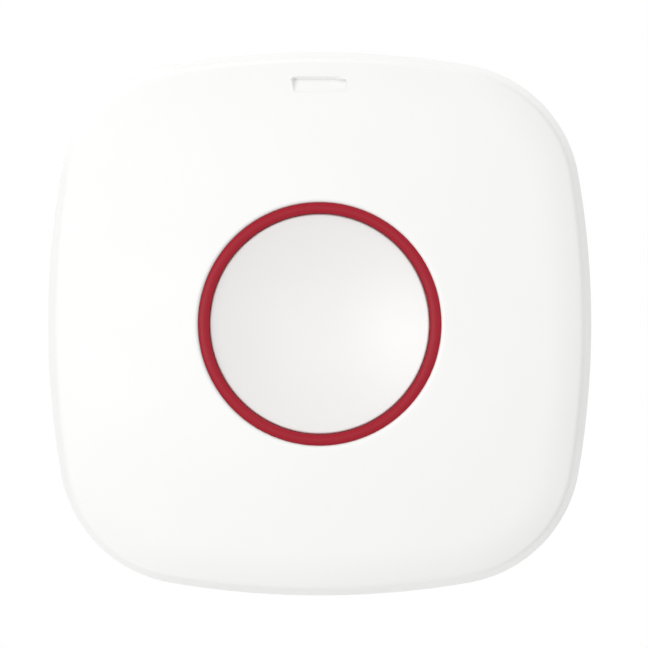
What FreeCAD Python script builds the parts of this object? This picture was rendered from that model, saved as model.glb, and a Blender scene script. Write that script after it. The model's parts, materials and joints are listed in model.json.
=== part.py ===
import FreeCAD, Part
import math
import os
from types import SimpleNamespace

import Sketcher

# Wireless panic button for a wall: a domed case with bowed sides, a dished button
# inside a red ring, and a wall plate that the case slides down onto.
#
# Frame: the wall is the plane y = 0, with the origin at the middle of the plate's
# wall face. +X is right and +Z is up for someone facing the button, and the front
# faces -Y. A depth is the distance from the wall towards that person, so y = -depth.

# Driving dimensions in millimetres. Names that end in _angle are in degrees.
DRIVING = [
    ("case_width", 62.0, "across the bowed sides, at the parting line"),
    ("side_bow_radius", 99.3, "plan radius of each bowed side"),
    ("corner_radius", 15.3, "plan radius of each corner"),
    ("case_depth", 18.0, "wall to the crown of the front"),
    ("crown_radius", 147.0, "sphere of the domed front"),
    ("side_lean_angle", 6.3, "the cover's side wall leans in by this"),
    ("back_lean_angle", 32.0, "the rear case's side leans in by this"),
    ("crease_round", 0.9, "rounding between side wall and dome"),
    ("back_round", 0.8, "rounding of the rear case's back edge"),
    ("parting_depth", 6.0, "parting line between cover and rear case"),
    ("parting_chamfer", 0.22, "fine groove along the parting line"),
    ("cover_wall", 1.8, "front cover"),
    ("rear_wall", 1.5, "rear case floor"),
    ("tray_wall", 3.2, "plan distance from outline to the rear case's inside"),
    ("tongue_height", 1.5, "rear case's tongue inside the cover"),
    ("shell_gap", 0.1, "between tongue and cover"),
    ("button_diameter", 25.0, "cap"),
    ("button_gap", 0.08, "radial gap round the cap"),
    ("button_edge_round", 0.22, "cap's outer edge"),
    ("button_wall", 1.4, "cap's face"),
    ("button_skirt_wall", 1.2, "cap's skirt"),
    ("button_skirt", 5.7, "height of the cap's skirt"),
    ("button_dish_radius", 62.0, "sphere of the cap's hollow"),
    ("button_sink", 0.32, "cap's edge below the ring's crown"),
    ("button_travel", 0.8, "press"),
    ("ring_width", 1.25, "visible width of the red ring"),
    ("ring_gap", 0.06, "between ring and cover"),
    ("ring_sink", 0.1, "ring's crown below the cover's lip"),
    ("ring_crown_radius", 1.1, "section radius of the ring's rounded front"),
    ("ring_height", 1.9, "from its seat to its crown"),
    ("lip_round", 0.35, "cover's edge round the ring"),
    ("sleeve_wall", 1.4, "guide sleeve round the cap"),
    ("lug_reach", 1.0, "button lugs beyond the skirt"),
    ("lug_height", 1.0, "button lugs along the travel"),
    ("lug_angle", 17.0, "width of each button lug"),
    ("lug_gap", 0.15, "between a lug and its slot"),
    ("lug_play_angle", 1.2, "degrees that each slot is wider than its lug"),
    ("post_diameter", 4.4, "cap's centre post"),
    ("spring_diameter", 10.6, "return spring, middle of the wire"),
    ("spring_wire", 0.5, "wire of the return spring"),
    ("spring_turns", 4.0, "coils of the return spring"),
    ("spring_seat_width", 1.5, "cap's ring that the spring bears on"),
    ("spring_length", 4.2, "return spring with the button up"),
    ("window_width", 6.2, "indicator slot"),
    ("window_height", 1.7, "indicator slot"),
    ("window_inset", 3.8, "indicator slot's middle from the case's widest line"),
    ("window_corner", 0.25, "indicator slot's corner radius"),
    ("window_sink", 0.3, "light guide's face below the cover"),
    ("window_gap", 0.04, "between light guide and slot"),
    ("guide_ear", 2.0, "light guide's ears each side of the slot"),
    ("guide_ear_height", 0.8, "thickness of those ears"),
    ("guide_foot", 2.8, "light guide's foot over the lamp"),
    ("guide_leg", 0.76, "light guide behind its ears"),
    ("stake_diameter", 0.9, "pins that hold the light guide"),
    ("board_depth", 8.4, "wall to the board's back"),
    ("board_thickness", 1.2, "circuit board"),
    ("board_inset", 2.7, "plan distance from outline to board"),
    ("screw_inset", 11.5, "case screws from the case's widest lines"),
    ("screw_diameter", 2.0, "case screw"),
    ("screw_head", 3.8, "case screw's head diameter"),
    ("screw_head_height", 1.2, "case screw's head"),
    ("screw_length", 9.5, "case screw under its head"),
    ("screw_gap", 0.15, "round a screw's shank in the rear case"),
    ("screw_seat", 3.8, "wall to the screw heads' seat"),
    ("post_wall", 1.5, "round each case screw"),
    ("thread_gap", 0.02, "between the screw and its boss"),
    ("switch_width", 6.0, "main switch, both ways"),
    ("switch_height", 3.2, "main switch"),
    ("plunger_diameter", 3.3, "main switch's plunger"),
    ("plunger_rise", 0.95, "plunger above the switch"),
    ("plunger_gap", 0.1, "radial gap round each plunger"),
    ("post_gap", 0.03, "between the cap's post and the plunger"),
    ("lamp_width", 3.5, "indicator lamp"),
    ("lamp_length", 2.8, "indicator lamp"),
    ("lamp_gap", 0.2, "between lamp and light guide"),
    ("cell_diameter", 20.0, "coin cell"),
    ("cell_height", 3.2, "coin cell"),
    ("cell_bevel", 0.35, "edges of the cell's can and lid"),
    ("cell_gap", 0.3, "radial gap round the cell"),
    ("door_gap", 0.12, "radial gap round the battery door"),
    ("door_thickness", 1.2, "battery door's disc"),
    ("door_recess", 0.05, "door's face below the rear case's back"),
    ("door_collar_wall", 0.8, "collar of the door round the cell"),
    ("door_lip", 1.5, "rear case's ledge that the door sits on"),
    ("door_flange", 1.0, "thickness of that ledge"),
    ("door_turn_angle", 36.0, "turn from locked to open"),
    ("door_lug_angle", 30.0, "width of each door lug"),
    ("door_lug_reach", 0.95, "door lugs beyond the collar"),
    ("door_lug_height", 0.9, "door lugs"),
    ("door_play_angle", 4.0, "each notch is wider than its lug by this"),
    ("door_stop_angle", 3.0, "width of the stops for the door's lugs"),
    ("coin_slot_length", 13.0, "slot across the battery door"),
    ("coin_slot_width", 1.8, "slot across the battery door"),
    ("coin_slot_cut", 0.6, "depth of that slot"),
    ("holder_wall", 1.5, "cell holder's ring"),
    ("holder_gap", 0.35, "between cell holder and the door's collar"),
    ("contact_sheet", 0.25, "spring sheet of the contacts"),
    ("contact_width", 3.6, "battery contacts"),
    ("plate_thickness", 2.2, "wall plate"),
    ("plate_gap", 0.2, "between wall plate and rear case"),
    ("plate_inset", 0.5, "wall plate's edge inside the case's sloping side"),
    ("hook_width", 5.4, "wall plate's hooks"),
    ("hook_stem", 2.0, "height of a hook's stem"),
    ("hook_tip", 3.5, "hook's tip above its stem"),
    ("hook_tip_thickness", 1.2, "hook's tip"),
    ("hook_gap", 0.15, "round a hook, in its slot"),
    ("hook_lead", 0.6, "slope at a hook's tip"),
    ("hook_inset", 11.0, "hooks' middles from the case's widest line"),
    ("hook_upper", 10.0, "underside of the upper hooks"),
    ("hook_lower", -8.0, "underside of the lower hooks"),
    ("slide_travel", 5.0, "case up the wall plate, until it comes off"),
    ("wall_screw_spacing", 32.0, "wall screws, side by side"),
    ("wall_screw_hole", 3.6, "wall screw holes"),
    ("wall_screw_sink", 6.4, "countersinks of those holes"),
    ("tamper_inset", 10.5, "tamper switch from the case's widest line"),
    ("tamper_side", 4.0, "tamper switch to the right of the middle"),
    ("tamper_diameter", 2.6, "tamper plunger"),
    ("tamper_height", 3.0, "tamper switch"),
    ("tamper_release", 0.5, "tamper plunger's way out as the case comes off"),
    ("tamper_gap", 0.06, "plunger's tip to the wall plate"),
    ("breakaway_width", 17.0, "wall plate's tear-off tongue"),
    ("breakaway_height", 13.0, "wall plate's tear-off tongue"),
    ("breakaway_slit", 0.8, "slit round that tongue"),
    ("breakaway_web", 1.6, "webs at that tongue's corners"),
    ("breakaway_inset", 12.5, "tongue's middle from the case's widest line"),
    ("breakaway_screw_side", 3.6, "tongue's own screw, left of its middle"),
    ("aerial_diameter", 3.0, "aerial coil, middle of the wire"),
    ("aerial_wire", 0.5, "aerial coil's wire"),
    ("aerial_pitch", 1.4, "aerial coil"),
    ("aerial_turns", 11.0, "aerial coil"),
    ("aerial_inset", 8.0, "aerial coil from the case's widest line"),
    ("aerial_lift", 0.4, "aerial coil above the board"),
    ("shield_width", 8.0, "radio's shield"),
    ("shield_length", 13.0, "radio's shield"),
    ("shield_height", 2.2, "radio's shield"),
    ("shield_sheet", 0.25, "radio's shield"),
    ("shield_gap", 2.05, "between the guide sleeve and the shield"),
    ("chip_width", 5.0, "radio and controller chips"),
    ("chip_height", 0.9, "radio and controller chips"),
    ("crystal_width", 3.2, "crystal"),
    ("crystal_length", 2.5, "crystal"),
    ("crystal_height", 0.8, "crystal"),
    ("chip_part_length", 1.6, "small capacitors and resistors"),
    ("chip_part_width", 0.8, "small capacitors and resistors"),
    ("chip_part_pitch", 2.2, "between those small parts"),
]


class Size:
    """A length or an angle together with the sheet formula that gives it."""

    def __init__(self, value, formula):
        self.value = value
        self.formula = formula

    def joined(self, other, sign, value):
        return Size(value, "(%s %s %s)" % (self.formula, sign, formula_of(other)))

    def __add__(self, other):
        return self.joined(other, "+", self.value + value_of(other))

    def __sub__(self, other):
        return self.joined(other, "-", self.value - value_of(other))

    def __mul__(self, other):
        return self.joined(other, "*", self.value * value_of(other))

    def __truediv__(self, other):
        return self.joined(other, "/", self.value / value_of(other))

    def __neg__(self):
        return Size(-self.value, "(-1 * %s)" % self.formula)


def value_of(term):
    return term.value if isinstance(term, Size) else float(term)


def formula_of(term):
    return term.formula if isinstance(term, Size) else repr(float(term))


def root(size):
    return Size(math.sqrt(size.value), "sqrt(%s)" % size.formula)


def tangent(angle):
    return Size(math.tan(math.radians(angle.value)), "tan(%s)" % angle.formula)


ZERO = Size(0.0, "0")

doc = FreeCAD.newDocument("PanicButton")
sheet = doc.addObject("Spreadsheet::Sheet", "Sizes")
for row, (alias, length, note) in enumerate(DRIVING, start=1):
    sheet.set("A%d" % row, alias)
    sheet.set("B%d" % row, str(length))
    sheet.set("C%d" % row, note)
    sheet.setAlias("B%d" % row, alias)
doc.recompute()
s = SimpleNamespace(**{alias: Size(length, "Sizes." + alias) for alias, length, _ in DRIVING})


# Sketches and features

def bind(feature, name, size):
    """Sets a property to a size and ties it to the sheet."""
    setattr(feature, name, size.value)
    feature.setExpression(name, size.formula)


def new_body(label):
    body = doc.addObject("PartDesign::Body", label)
    body.Label = label
    return body


def new_sketch(body, plane, out=ZERO, up=ZERO, turn=None):
    """A sketch on an origin plane, moved out along its normal and up its own y axis.

    A turn is about its own y axis."""
    sketch = body.newObject("Sketcher::SketchObject", body.Label + "_sketch")
    support = next(f for f in body.Origin.OriginFeatures if f.Role == plane)
    sketch.AttachmentSupport = [(support, "")]
    sketch.MapMode = "FlatFace"
    upright = FreeCAD.Vector(0, 1, 0)
    angle = 0 if turn is None else turn.value
    offset = FreeCAD.Vector(0, up.value, out.value)
    sketch.AttachmentOffset = FreeCAD.Placement(offset, FreeCAD.Rotation(upright, angle))
    sketch.setExpression("AttachmentOffset.Base.y", up.formula)
    sketch.setExpression("AttachmentOffset.Base.z", out.formula)
    if turn is not None:
        sketch.setExpression("AttachmentOffset.Rotation.Angle", turn.formula)
    return sketch


def constrain(sketch, kind, *terms):
    """Adds a constraint. A Size as its last term ties it to the sheet."""
    size = terms[-1]
    if not isinstance(size, Size):
        return sketch.addConstraint(Sketcher.Constraint(kind, *terms))
    index = sketch.addConstraint(Sketcher.Constraint(kind, *terms[:-1], size.value))
    sketch.setExpression("Constraints[%d]" % index, size.formula)
    return index


def pin_point(sketch, geometry, end, x, y):
    """Holds one point of a sketch at x, y."""
    on_axis = {"DistanceX": -2, "DistanceY": -1}
    for kind, size in (("DistanceX", x), ("DistanceY", y)):
        if size is ZERO:
            constrain(sketch, "PointOnObject", geometry, end, on_axis[kind])
        else:
            constrain(sketch, kind, -1, 1, geometry, end, size)


def arc_between(start, end, radius, side):
    """The shorter arc from start to end, with its middle left (1) or right (-1) of the chord."""
    chord = end - start
    across = FreeCAD.Vector(-chord.y, chord.x, 0).normalize()
    reach = math.sqrt(radius * radius - chord.Length ** 2 / 4)
    middle = (start + end) / 2 + across * reach * side
    first, last = (start, end) if side > 0 else (end, start)
    low = math.atan2(first.y - middle.y, first.x - middle.x)
    high = math.atan2(last.y - middle.y, last.x - middle.x)
    circle = Part.Circle(middle, FreeCAD.Vector(0, 0, 1), radius)
    return Part.ArcOfCircle(circle, low, high if high > low else high + 2 * math.pi)


def outline(sketch, corners):
    """A closed outline. A corner is (x, y) or (x, y, radius, side) where an arc leaves it."""
    points = [FreeCAD.Vector(c[0].value, c[1].value, 0) for c in corners]
    edges = []
    for start, end, corner in zip(points, points[1:] + points[:1], corners):
        if len(corner) == 2:
            edges.append((sketch.addGeometry(Part.LineSegment(start, end)), 1, 2))
            continue
        radius, side = corner[2:]
        arc = sketch.addGeometry(arc_between(start, end, radius.value, side))
        edges.append((arc, 1, 2) if side > 0 else (arc, 2, 1))
        constrain(sketch, "Radius", arc, radius)
    for (edge, first, last), (following, head, _), corner in zip(edges, edges[1:] + edges[:1], corners):
        constrain(sketch, "Coincident", edge, last, following, head)
        pin_point(sketch, edge, first, corner[0], corner[1])
    return sketch


def rectangle(sketch, left, right, low, high):
    return outline(sketch, [(left, low), (right, low), (right, high), (left, high)])


def middle_rectangle(sketch, width, height, x=ZERO, y=ZERO):
    return rectangle(sketch, x - width / 2, x + width / 2, y - height / 2, y + height / 2)


def rounded_rectangle(sketch, width, height, radius, y=ZERO):
    """A rectangle about x = 0 with round corners."""
    corners = []
    for side_x, side_y in ((1, -1), (1, 1), (-1, 1), (-1, -1)):
        square = (width / 2 * side_x, y + height / 2 * side_y)
        along_x = (square[0] - radius * side_x, square[1])
        along_y = (square[0], square[1] - radius * side_y)
        first, second = (along_x, along_y) if side_x * side_y < 0 else (along_y, along_x)
        corners.append((*first, radius, 1))
        corners.append(second)
    return outline(sketch, corners)


def circle(sketch, radius, x=ZERO, y=ZERO):
    middle = FreeCAD.Vector(x.value, y.value, 0)
    ring = sketch.addGeometry(Part.Circle(middle, FreeCAD.Vector(0, 0, 1), radius.value))
    constrain(sketch, "Radius", ring, radius)
    pin_point(sketch, ring, 3, x, y)
    return sketch


def pad(sketch, length, lean=None, backwards=False, both_ways=False):
    body = sketch.getParentGeoFeatureGroup()
    feature = body.newObject("PartDesign::Pad", body.Label + "_pad")
    feature.Profile = sketch
    bind(feature, "Length", length)
    feature.Reversed = backwards
    feature.Midplane = both_ways
    if lean is not None:
        bind(feature, "TaperAngle", lean)
    return feature


def pocket(sketch, length, forwards=False):
    """Cuts towards the wall, or forwards along the sketch's normal."""
    body = sketch.getParentGeoFeatureGroup()
    feature = body.newObject("PartDesign::Pocket", body.Label + "_pocket")
    feature.Profile = sketch
    bind(feature, "Length", length)
    feature.Reversed = forwards
    return feature


def revolved(sketch, kind="PartDesign::Revolution", angle=None):
    """Turns a profile round the body's depth axis, all the way or evenly about the sketch."""
    body = sketch.getParentGeoFeatureGroup()
    feature = body.newObject(kind, body.Label + "_turned")
    feature.Profile = sketch
    feature.ReferenceAxis = (sketch, ["V_Axis"])
    if angle is None:
        feature.Angle = 360
    else:
        feature.Midplane = True
        bind(feature, "Angle", angle)
    return feature


def round_the_axis(feature, count):
    body = feature.getParentGeoFeatureGroup()
    pattern = body.newObject("PartDesign::PolarPattern", body.Label + "_pattern")
    pattern.Originals = [feature]
    axis = next(f for f in body.Origin.OriginFeatures if f.Role == "Y_Axis")
    pattern.Axis = (axis, [""])
    pattern.Angle = 360
    pattern.Occurrences = count
    body.Tip = pattern
    return pattern


def rounded(body, edges, radius):
    """Rounds the named edges of the body's last feature."""
    base = body.Tip
    feature = body.newObject("PartDesign::Fillet", body.Label + "_round")
    feature.Base = (base, edges)
    bind(feature, "Radius", radius)
    return feature


def chamfered(body, edges, size):
    base = body.Tip
    feature = body.newObject("PartDesign::Chamfer", body.Label + "_chamfer")
    feature.Base = (base, edges)
    bind(feature, "Size", size)
    return feature


# An edge's bounding box can stand out from a curved edge by this, in millimetres.
BOX_ERROR = 0.03


def edges_where(body, test):
    """Names of the edges of the body's last feature that pass the test."""
    doc.recompute()
    found = enumerate(body.Tip.Shape.Edges, start=1)
    return ["Edge%d" % number for number, edge in found if test(edge)]


def at_depth(edge, depth):
    """True where an edge lies wholly at one depth."""
    box = edge.BoundBox
    return max(abs(box.YMin + depth.value), abs(box.YMax + depth.value)) < BOX_ERROR


def borders(edge, face):
    """True for the edges round a face, its seam apart."""
    on_face = any(edge.isSame(other) for other in face.Edges)
    return on_face and not edge.isSeam(face)


def is_round(edge, radius):
    """True for a full circle of this radius that faces the wall."""
    box = edge.BoundBox
    return max(abs(box.XLength - radius.value * 2), abs(box.ZLength - radius.value * 2)) < BOX_ERROR


def along_depth(edge):
    box = edge.BoundBox
    return max(box.XLength, box.ZLength) < BOX_ERROR


# The plan outline: four bowed sides joined by four corners, tangent to one another.
# An inset keeps every arc's middle and takes the same length off every radius.

half_width = s.case_width / 2
window_rise = half_width - s.window_inset
screw_half = half_width - s.screw_inset
hook_column = half_width - s.hook_inset
tamper_drop = half_width - s.tamper_inset
breakaway_drop = half_width - s.breakaway_inset
aerial_drop = half_width - s.aerial_inset
bow_middle = s.side_bow_radius - half_width
arc_middles = s.side_bow_radius - s.corner_radius
corner_middle = (root(arc_middles * arc_middles * 2 - bow_middle * bow_middle) - bow_middle) / 2


def case_outline(sketch, inset):
    corner = s.corner_radius - inset
    side = s.side_bow_radius - inset
    far = corner_middle + corner * (corner_middle + bow_middle) / arc_middles
    near = corner_middle + corner * corner_middle / arc_middles
    return outline(sketch, [
        (far, -near, side, 1), (far, near, corner, 1),
        (near, far, side, 1), (-near, far, corner, 1),
        (-far, near, side, 1), (-far, -near, corner, 1),
        (-near, -far, side, 1), (near, -far, corner, 1),
    ])


def dome_depth(sphere_radius, plan_radius, crown):
    """Depth of a dome with its crown on the axis, at a distance from the axis."""
    return crown - sphere_radius + root(sphere_radius * sphere_radius - plan_radius * plan_radius)


# Depths and radii shared by several pieces

back_depth = s.plate_thickness + s.plate_gap
floor_depth = back_depth + s.rear_wall
board_front = s.board_depth + s.board_thickness
cap_radius = s.button_diameter / 2
bore_radius = cap_radius + s.button_gap
ring_outer = bore_radius + s.ring_width
seat_radius = ring_outer + s.ring_gap
lip_depth = dome_depth(s.crown_radius, seat_radius, s.case_depth)
ring_crown = lip_depth - s.ring_sink
ring_seat = ring_crown - s.ring_height
cap_edge = ring_crown - s.button_sink
cap_foot = cap_edge - s.button_skirt
dish_depth = s.button_dish_radius - root(
    s.button_dish_radius * s.button_dish_radius - cap_radius * cap_radius)
cap_middle = cap_edge - dish_depth
cap_ceiling = cap_middle - s.button_wall
lug_front = cap_foot + s.lug_height
lug_radius = cap_radius + s.lug_reach
sleeve_radius = lug_radius + s.lug_gap + s.sleeve_wall / 2
sleeve_foot = cap_foot - s.button_travel - s.lug_gap
switch_top = board_front + s.switch_height
plunger_top = switch_top + s.plunger_rise
screw_radius = s.screw_diameter / 2
screw_tip = s.screw_seat + s.screw_length
boss_radius = screw_radius + s.thread_gap + s.post_wall
window_depth = dome_depth(s.crown_radius, window_rise, s.case_depth)
window_ceiling = window_depth - s.cover_wall
ear_front = window_ceiling - s.guide_ear_height / 2
ear_back = ear_front - s.guide_ear_height
guide_back = ear_back - s.guide_leg
lamp_height = guide_back - s.lamp_gap - board_front
ear_place = s.window_width / 2 + s.guide_ear / 2
ledge_radius = s.cell_diameter / 2 + s.cell_gap + s.door_collar_wall + s.door_gap
door_seat_radius = ledge_radius + s.door_lip
door_face = back_depth + s.door_recess
door_top = door_face + s.door_thickness
ledge_back = door_top + s.door_recess
ledge_front = ledge_back + s.door_flange
door_lug_back = ledge_front + s.door_recess
door_lug_front = door_lug_back + s.door_lug_height
collar_inner = s.cell_diameter / 2 + s.cell_gap
collar_outer = collar_inner + s.door_collar_wall
door_lug_radius = collar_outer + s.door_lug_reach
cell_back = door_top + s.door_recess * 4
cell_front = cell_back + s.cell_height
holder_back = door_lug_front + s.holder_gap
shield_place = sleeve_radius + s.shield_gap + s.shield_width / 2
tamper_back = s.board_depth - s.tamper_height
tamper_radius = s.tamper_diameter / 2
tamper_hole = tamper_radius + s.plunger_gap
tamper_tip = s.plate_thickness + s.tamper_gap


# Front cover

def dome_cut(body, sphere_radius, crown, above):
    """Takes away everything in front of a sphere whose crown is on the axis."""
    reach = s.case_width * 0.75
    edge = dome_depth(sphere_radius, reach, crown)
    top = crown + above
    profile = outline(new_sketch(body, "XY_Plane"), [
        (ZERO, -crown, sphere_radius, 1), (reach, -edge), (reach, -top), (ZERO, -top),
    ])
    return revolved(profile, "PartDesign::Groove")


def make_cover_hollow():
    """The space inside the cover: the outline less the wall, under a parallel dome."""
    body = new_body("cover_hollow")
    below = new_sketch(body, "XZ_Plane", s.parting_depth)
    pad(case_outline(below, s.cover_wall), s.case_depth - s.parting_depth, -s.side_lean_angle)
    dome_cut(body, s.crown_radius - s.cover_wall, s.case_depth - s.cover_wall,
             s.crease_round + s.cover_wall)
    return body


def make_front_cover():
    body = new_body("front_cover")
    start = case_outline(new_sketch(body, "XZ_Plane", s.parting_depth), ZERO)
    pad(start, s.case_depth + s.cover_wall - s.parting_depth, -s.side_lean_angle)
    dome_cut(body, s.crown_radius, s.case_depth, s.cover_wall * 2)
    doc.recompute()
    dome = next(f for f in body.Tip.Shape.Faces if isinstance(f.Surface, Part.Sphere))
    rounded(body, edges_where(body, lambda e: borders(e, dome)), s.crease_round)
    chamfered(body, edges_where(body, lambda e: at_depth(e, s.parting_depth)), s.parting_chamfer)
    hollow = body.newObject("PartDesign::Boolean", "cover_hollow_cut")
    hollow.Type = "Cut"
    hollow.setObjects([make_cover_hollow()])

    collar = seat_radius + s.post_wall / 2
    core = bore_radius - s.post_wall / 2
    shoulder = ring_seat - s.cover_wall / 2
    inside_shell = ring_crown - s.cover_wall / 2
    behind = sleeve_foot - s.lug_gap
    clear = s.case_depth + s.cover_wall
    revolved(outline(new_sketch(body, "XY_Plane"), [
        (core, -sleeve_foot), (sleeve_radius, -sleeve_foot), (sleeve_radius, -shoulder),
        (collar, -shoulder), (collar, -inside_shell), (core, -inside_shell),
    ]))
    revolved(outline(new_sketch(body, "XY_Plane"), [
        (ZERO, -behind), (bore_radius, -behind), (bore_radius, -ring_seat),
        (seat_radius, -ring_seat), (seat_radius, -clear), (ZERO, -clear),
    ]), "PartDesign::Groove")
    lip = edges_where(body, lambda e: is_round(e, seat_radius) and at_depth(e, lip_depth))
    rounded(body, lip, s.lip_round)

    slot_radius = lug_radius + s.lug_gap
    slot = revolved(outline(new_sketch(body, "XY_Plane"), [
        (core, -behind), (slot_radius, -behind), (slot_radius, -lug_front), (core, -lug_front),
    ]), "PartDesign::Groove", s.lug_angle + s.lug_play_angle)
    round_the_axis(slot, 3)

    bosses = new_sketch(body, "XZ_Plane", board_front)
    pilots = new_sketch(body, "XZ_Plane", board_front)
    for x in (screw_half, -screw_half):
        for z in (screw_half, -screw_half):
            circle(bosses, boss_radius, x, z)
            circle(pilots, screw_radius + s.thread_gap, x, z)
    boss_top = dome_depth(s.crown_radius, screw_half * math.sqrt(2), s.case_depth) - s.cover_wall / 2
    pad(bosses, boss_top - board_front)
    pocket(pilots, screw_tip + s.screw_gap - board_front, forwards=True)

    window = new_sketch(body, "XZ_Plane", s.case_depth)
    rounded_rectangle(window, s.window_width, s.window_height, s.window_corner, window_rise)
    pocket(window, s.case_depth - ear_front)
    stakes = new_sketch(body, "XZ_Plane", ear_back - s.lug_gap)
    for x in (ear_place, -ear_place):
        circle(stakes, s.stake_diameter / 2, x, window_rise)
    pad(stakes, window_depth - s.cover_wall / 2 - ear_back + s.lug_gap)
    return body


# Trim ring

def make_trim_ring():
    body = new_body("trim_ring")
    half = s.ring_width / 2
    shoulder = ring_crown - s.ring_crown_radius + root(
        s.ring_crown_radius * s.ring_crown_radius - half * half)
    revolved(outline(new_sketch(body, "XY_Plane"), [
        (bore_radius, -ring_seat), (bore_radius, -shoulder, s.ring_crown_radius, 1),
        (ring_outer, -shoulder), (ring_outer, -ring_seat),
    ]))
    return body


# Button cap

def make_button_cap():
    body = new_body("button_cap")
    inner = cap_radius - s.button_skirt_wall
    post = s.post_diameter / 2
    post_foot = plunger_top + s.post_gap
    seat_inner = s.spring_diameter / 2 - s.spring_seat_width / 2
    seat_outer = s.spring_diameter / 2 + s.spring_seat_width / 2
    seat_foot = board_front + s.spring_length
    ceiling_rim = cap_edge - s.button_wall
    revolved(outline(new_sketch(body, "XY_Plane"), [
        (ZERO, -post_foot), (post, -post_foot), (post, -cap_ceiling),
        (seat_inner, -cap_ceiling), (seat_inner, -seat_foot), (seat_outer, -seat_foot),
        (seat_outer, -cap_ceiling), (inner, -ceiling_rim), (inner, -cap_foot),
        (cap_radius, -cap_foot), (cap_radius, -cap_edge, s.button_dish_radius, 1),
        (ZERO, -cap_middle),
    ]))
    rim = edges_where(body, lambda e: is_round(e, cap_radius) and at_depth(e, cap_edge))
    rounded(body, rim, s.button_edge_round)
    inside_skirt = inner + s.button_skirt_wall / 2
    lug_top = lug_front - s.post_gap
    lug = revolved(outline(new_sketch(body, "XY_Plane"), [
        (inside_skirt, -cap_foot), (lug_radius, -cap_foot),
        (lug_radius, -lug_top), (inside_skirt, -lug_top),
    ]), "PartDesign::Revolution", s.lug_angle)
    round_the_axis(lug, 3)
    return body


# Springs and the aerial are round wire on a helix about one axis of the wire's sketch.

def coil(profile, axis, pitch, turns, backwards=False):
    body = profile.getParentGeoFeatureGroup()
    feature = body.newObject("PartDesign::AdditiveHelix", body.Label + "_coil")
    feature.Profile = profile
    feature.ReferenceAxis = (profile, [axis])
    feature.Mode = "pitch-turns-angle"
    bind(feature, "Pitch", pitch)
    bind(feature, "Turns", turns)
    feature.Reversed = backwards
    return feature


def make_return_spring():
    body = new_body("return_spring")
    pitch = (s.spring_length - s.spring_wire * 1.1) / s.spring_turns
    start = board_front + s.spring_wire * 0.55
    wire = circle(new_sketch(body, "XY_Plane"), s.spring_wire / 2, s.spring_diameter / 2, -start)
    coil(wire, "V_Axis", pitch, s.spring_turns, backwards=True)
    return body


# Light guide, from the lamp on the board to the slot in the cover

def make_light_guide():
    body = new_body("light_guide")
    low = window_rise - s.window_height / 2 + s.window_gap
    high = window_rise + s.window_height / 2 - s.window_gap
    foot_low = high - s.guide_foot
    front = window_depth - s.window_sink
    waist = guide_back + s.guide_leg / 2
    lean = (window_rise + s.window_height / 2) / s.crown_radius * (s.window_height / 2)
    side = outline(new_sketch(body, "YZ_Plane"), [
        (-guide_back, foot_low), (-guide_back, high), (-(front - lean), high), (-(front + lean), low),
        (-waist, low), (-(guide_back + s.lamp_gap), foot_low),
    ])
    pad(side, s.window_width - s.window_gap * 2, both_ways=True)
    corners = edges_where(body, lambda e: along_depth(e) and -e.BoundBox.YMin > window_ceiling.value)
    rounded(body, corners, s.window_corner - s.window_gap)
    ears = new_sketch(body, "XZ_Plane", ear_back)
    middle_rectangle(ears, s.window_width + s.guide_ear * 2, s.window_height - s.window_gap * 2,
                     ZERO, window_rise)
    pad(ears, s.guide_ear_height)
    holes = new_sketch(body, "XZ_Plane", ear_front)
    for x in (ear_place, -ear_place):
        circle(holes, s.stake_diameter / 2 + s.window_gap, x, window_rise)
    pocket(holes, s.guide_ear_height)
    return body


# What the board carries in front

def make_circuit_board():
    body = new_body("circuit_board")
    pad(case_outline(new_sketch(body, "XZ_Plane", s.board_depth), s.board_inset), s.board_thickness)
    holes = new_sketch(body, "XZ_Plane", board_front)
    for x in (screw_half, -screw_half):
        for z in (screw_half, -screw_half):
            circle(holes, screw_radius + s.screw_gap * 2, x, z)
    pocket(holes, s.board_thickness)
    return body


def make_main_switch():
    body = new_body("main_switch_body")
    pad(middle_rectangle(new_sketch(body, "XZ_Plane", board_front), s.switch_width, s.switch_width),
        s.switch_height)
    chamfered(body, edges_where(body, along_depth), s.switch_width / 12)
    well = new_sketch(body, "XZ_Plane", switch_top)
    circle(well, s.plunger_diameter / 2 + s.plunger_gap)
    pocket(well, s.switch_height / 2 + s.button_travel + s.plunger_gap)
    return body


def make_main_plunger():
    body = new_body("main_switch_plunger")
    foot = switch_top - s.switch_height / 2
    pad(circle(new_sketch(body, "XZ_Plane", foot), s.plunger_diameter / 2), plunger_top - foot)
    rounded(body, edges_where(body, lambda e: at_depth(e, plunger_top)), s.plunger_gap * 2)
    return body


def make_indicator_lamp():
    body = new_body("indicator_lamp")
    rise = window_rise + s.window_height / 2 - s.guide_foot / 2
    base = new_sketch(body, "XZ_Plane", board_front)
    pad(middle_rectangle(base, s.lamp_width, s.lamp_length, ZERO, rise), lamp_height)
    well = new_sketch(body, "XZ_Plane", board_front + lamp_height)
    circle(well, s.lamp_length * 0.4, ZERO, rise)
    pocket(well, lamp_height / 2)
    return body


def make_block(label, width, length, height, x, z, edge_share):
    """A small part standing on the board's front, with its front edges chamfered."""
    body = new_body(label)
    base = new_sketch(body, "XZ_Plane", board_front)
    pad(middle_rectangle(base, width, length, x, z), height)
    chamfered(body, edges_where(body, lambda e: at_depth(e, board_front + height)), height * edge_share)
    return body


def make_radio_shield():
    body = make_block("radio_shield", s.shield_width, s.shield_length, s.shield_height,
                      -shield_place, ZERO, 0.12)
    room = new_sketch(body, "XZ_Plane", board_front)
    inside_width = s.shield_width - s.shield_sheet * 2
    inside_length = s.shield_length - s.shield_sheet * 2
    middle_rectangle(room, inside_width, inside_length, -shield_place)
    pocket(room, s.shield_height - s.shield_sheet, forwards=True)
    return body


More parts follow.
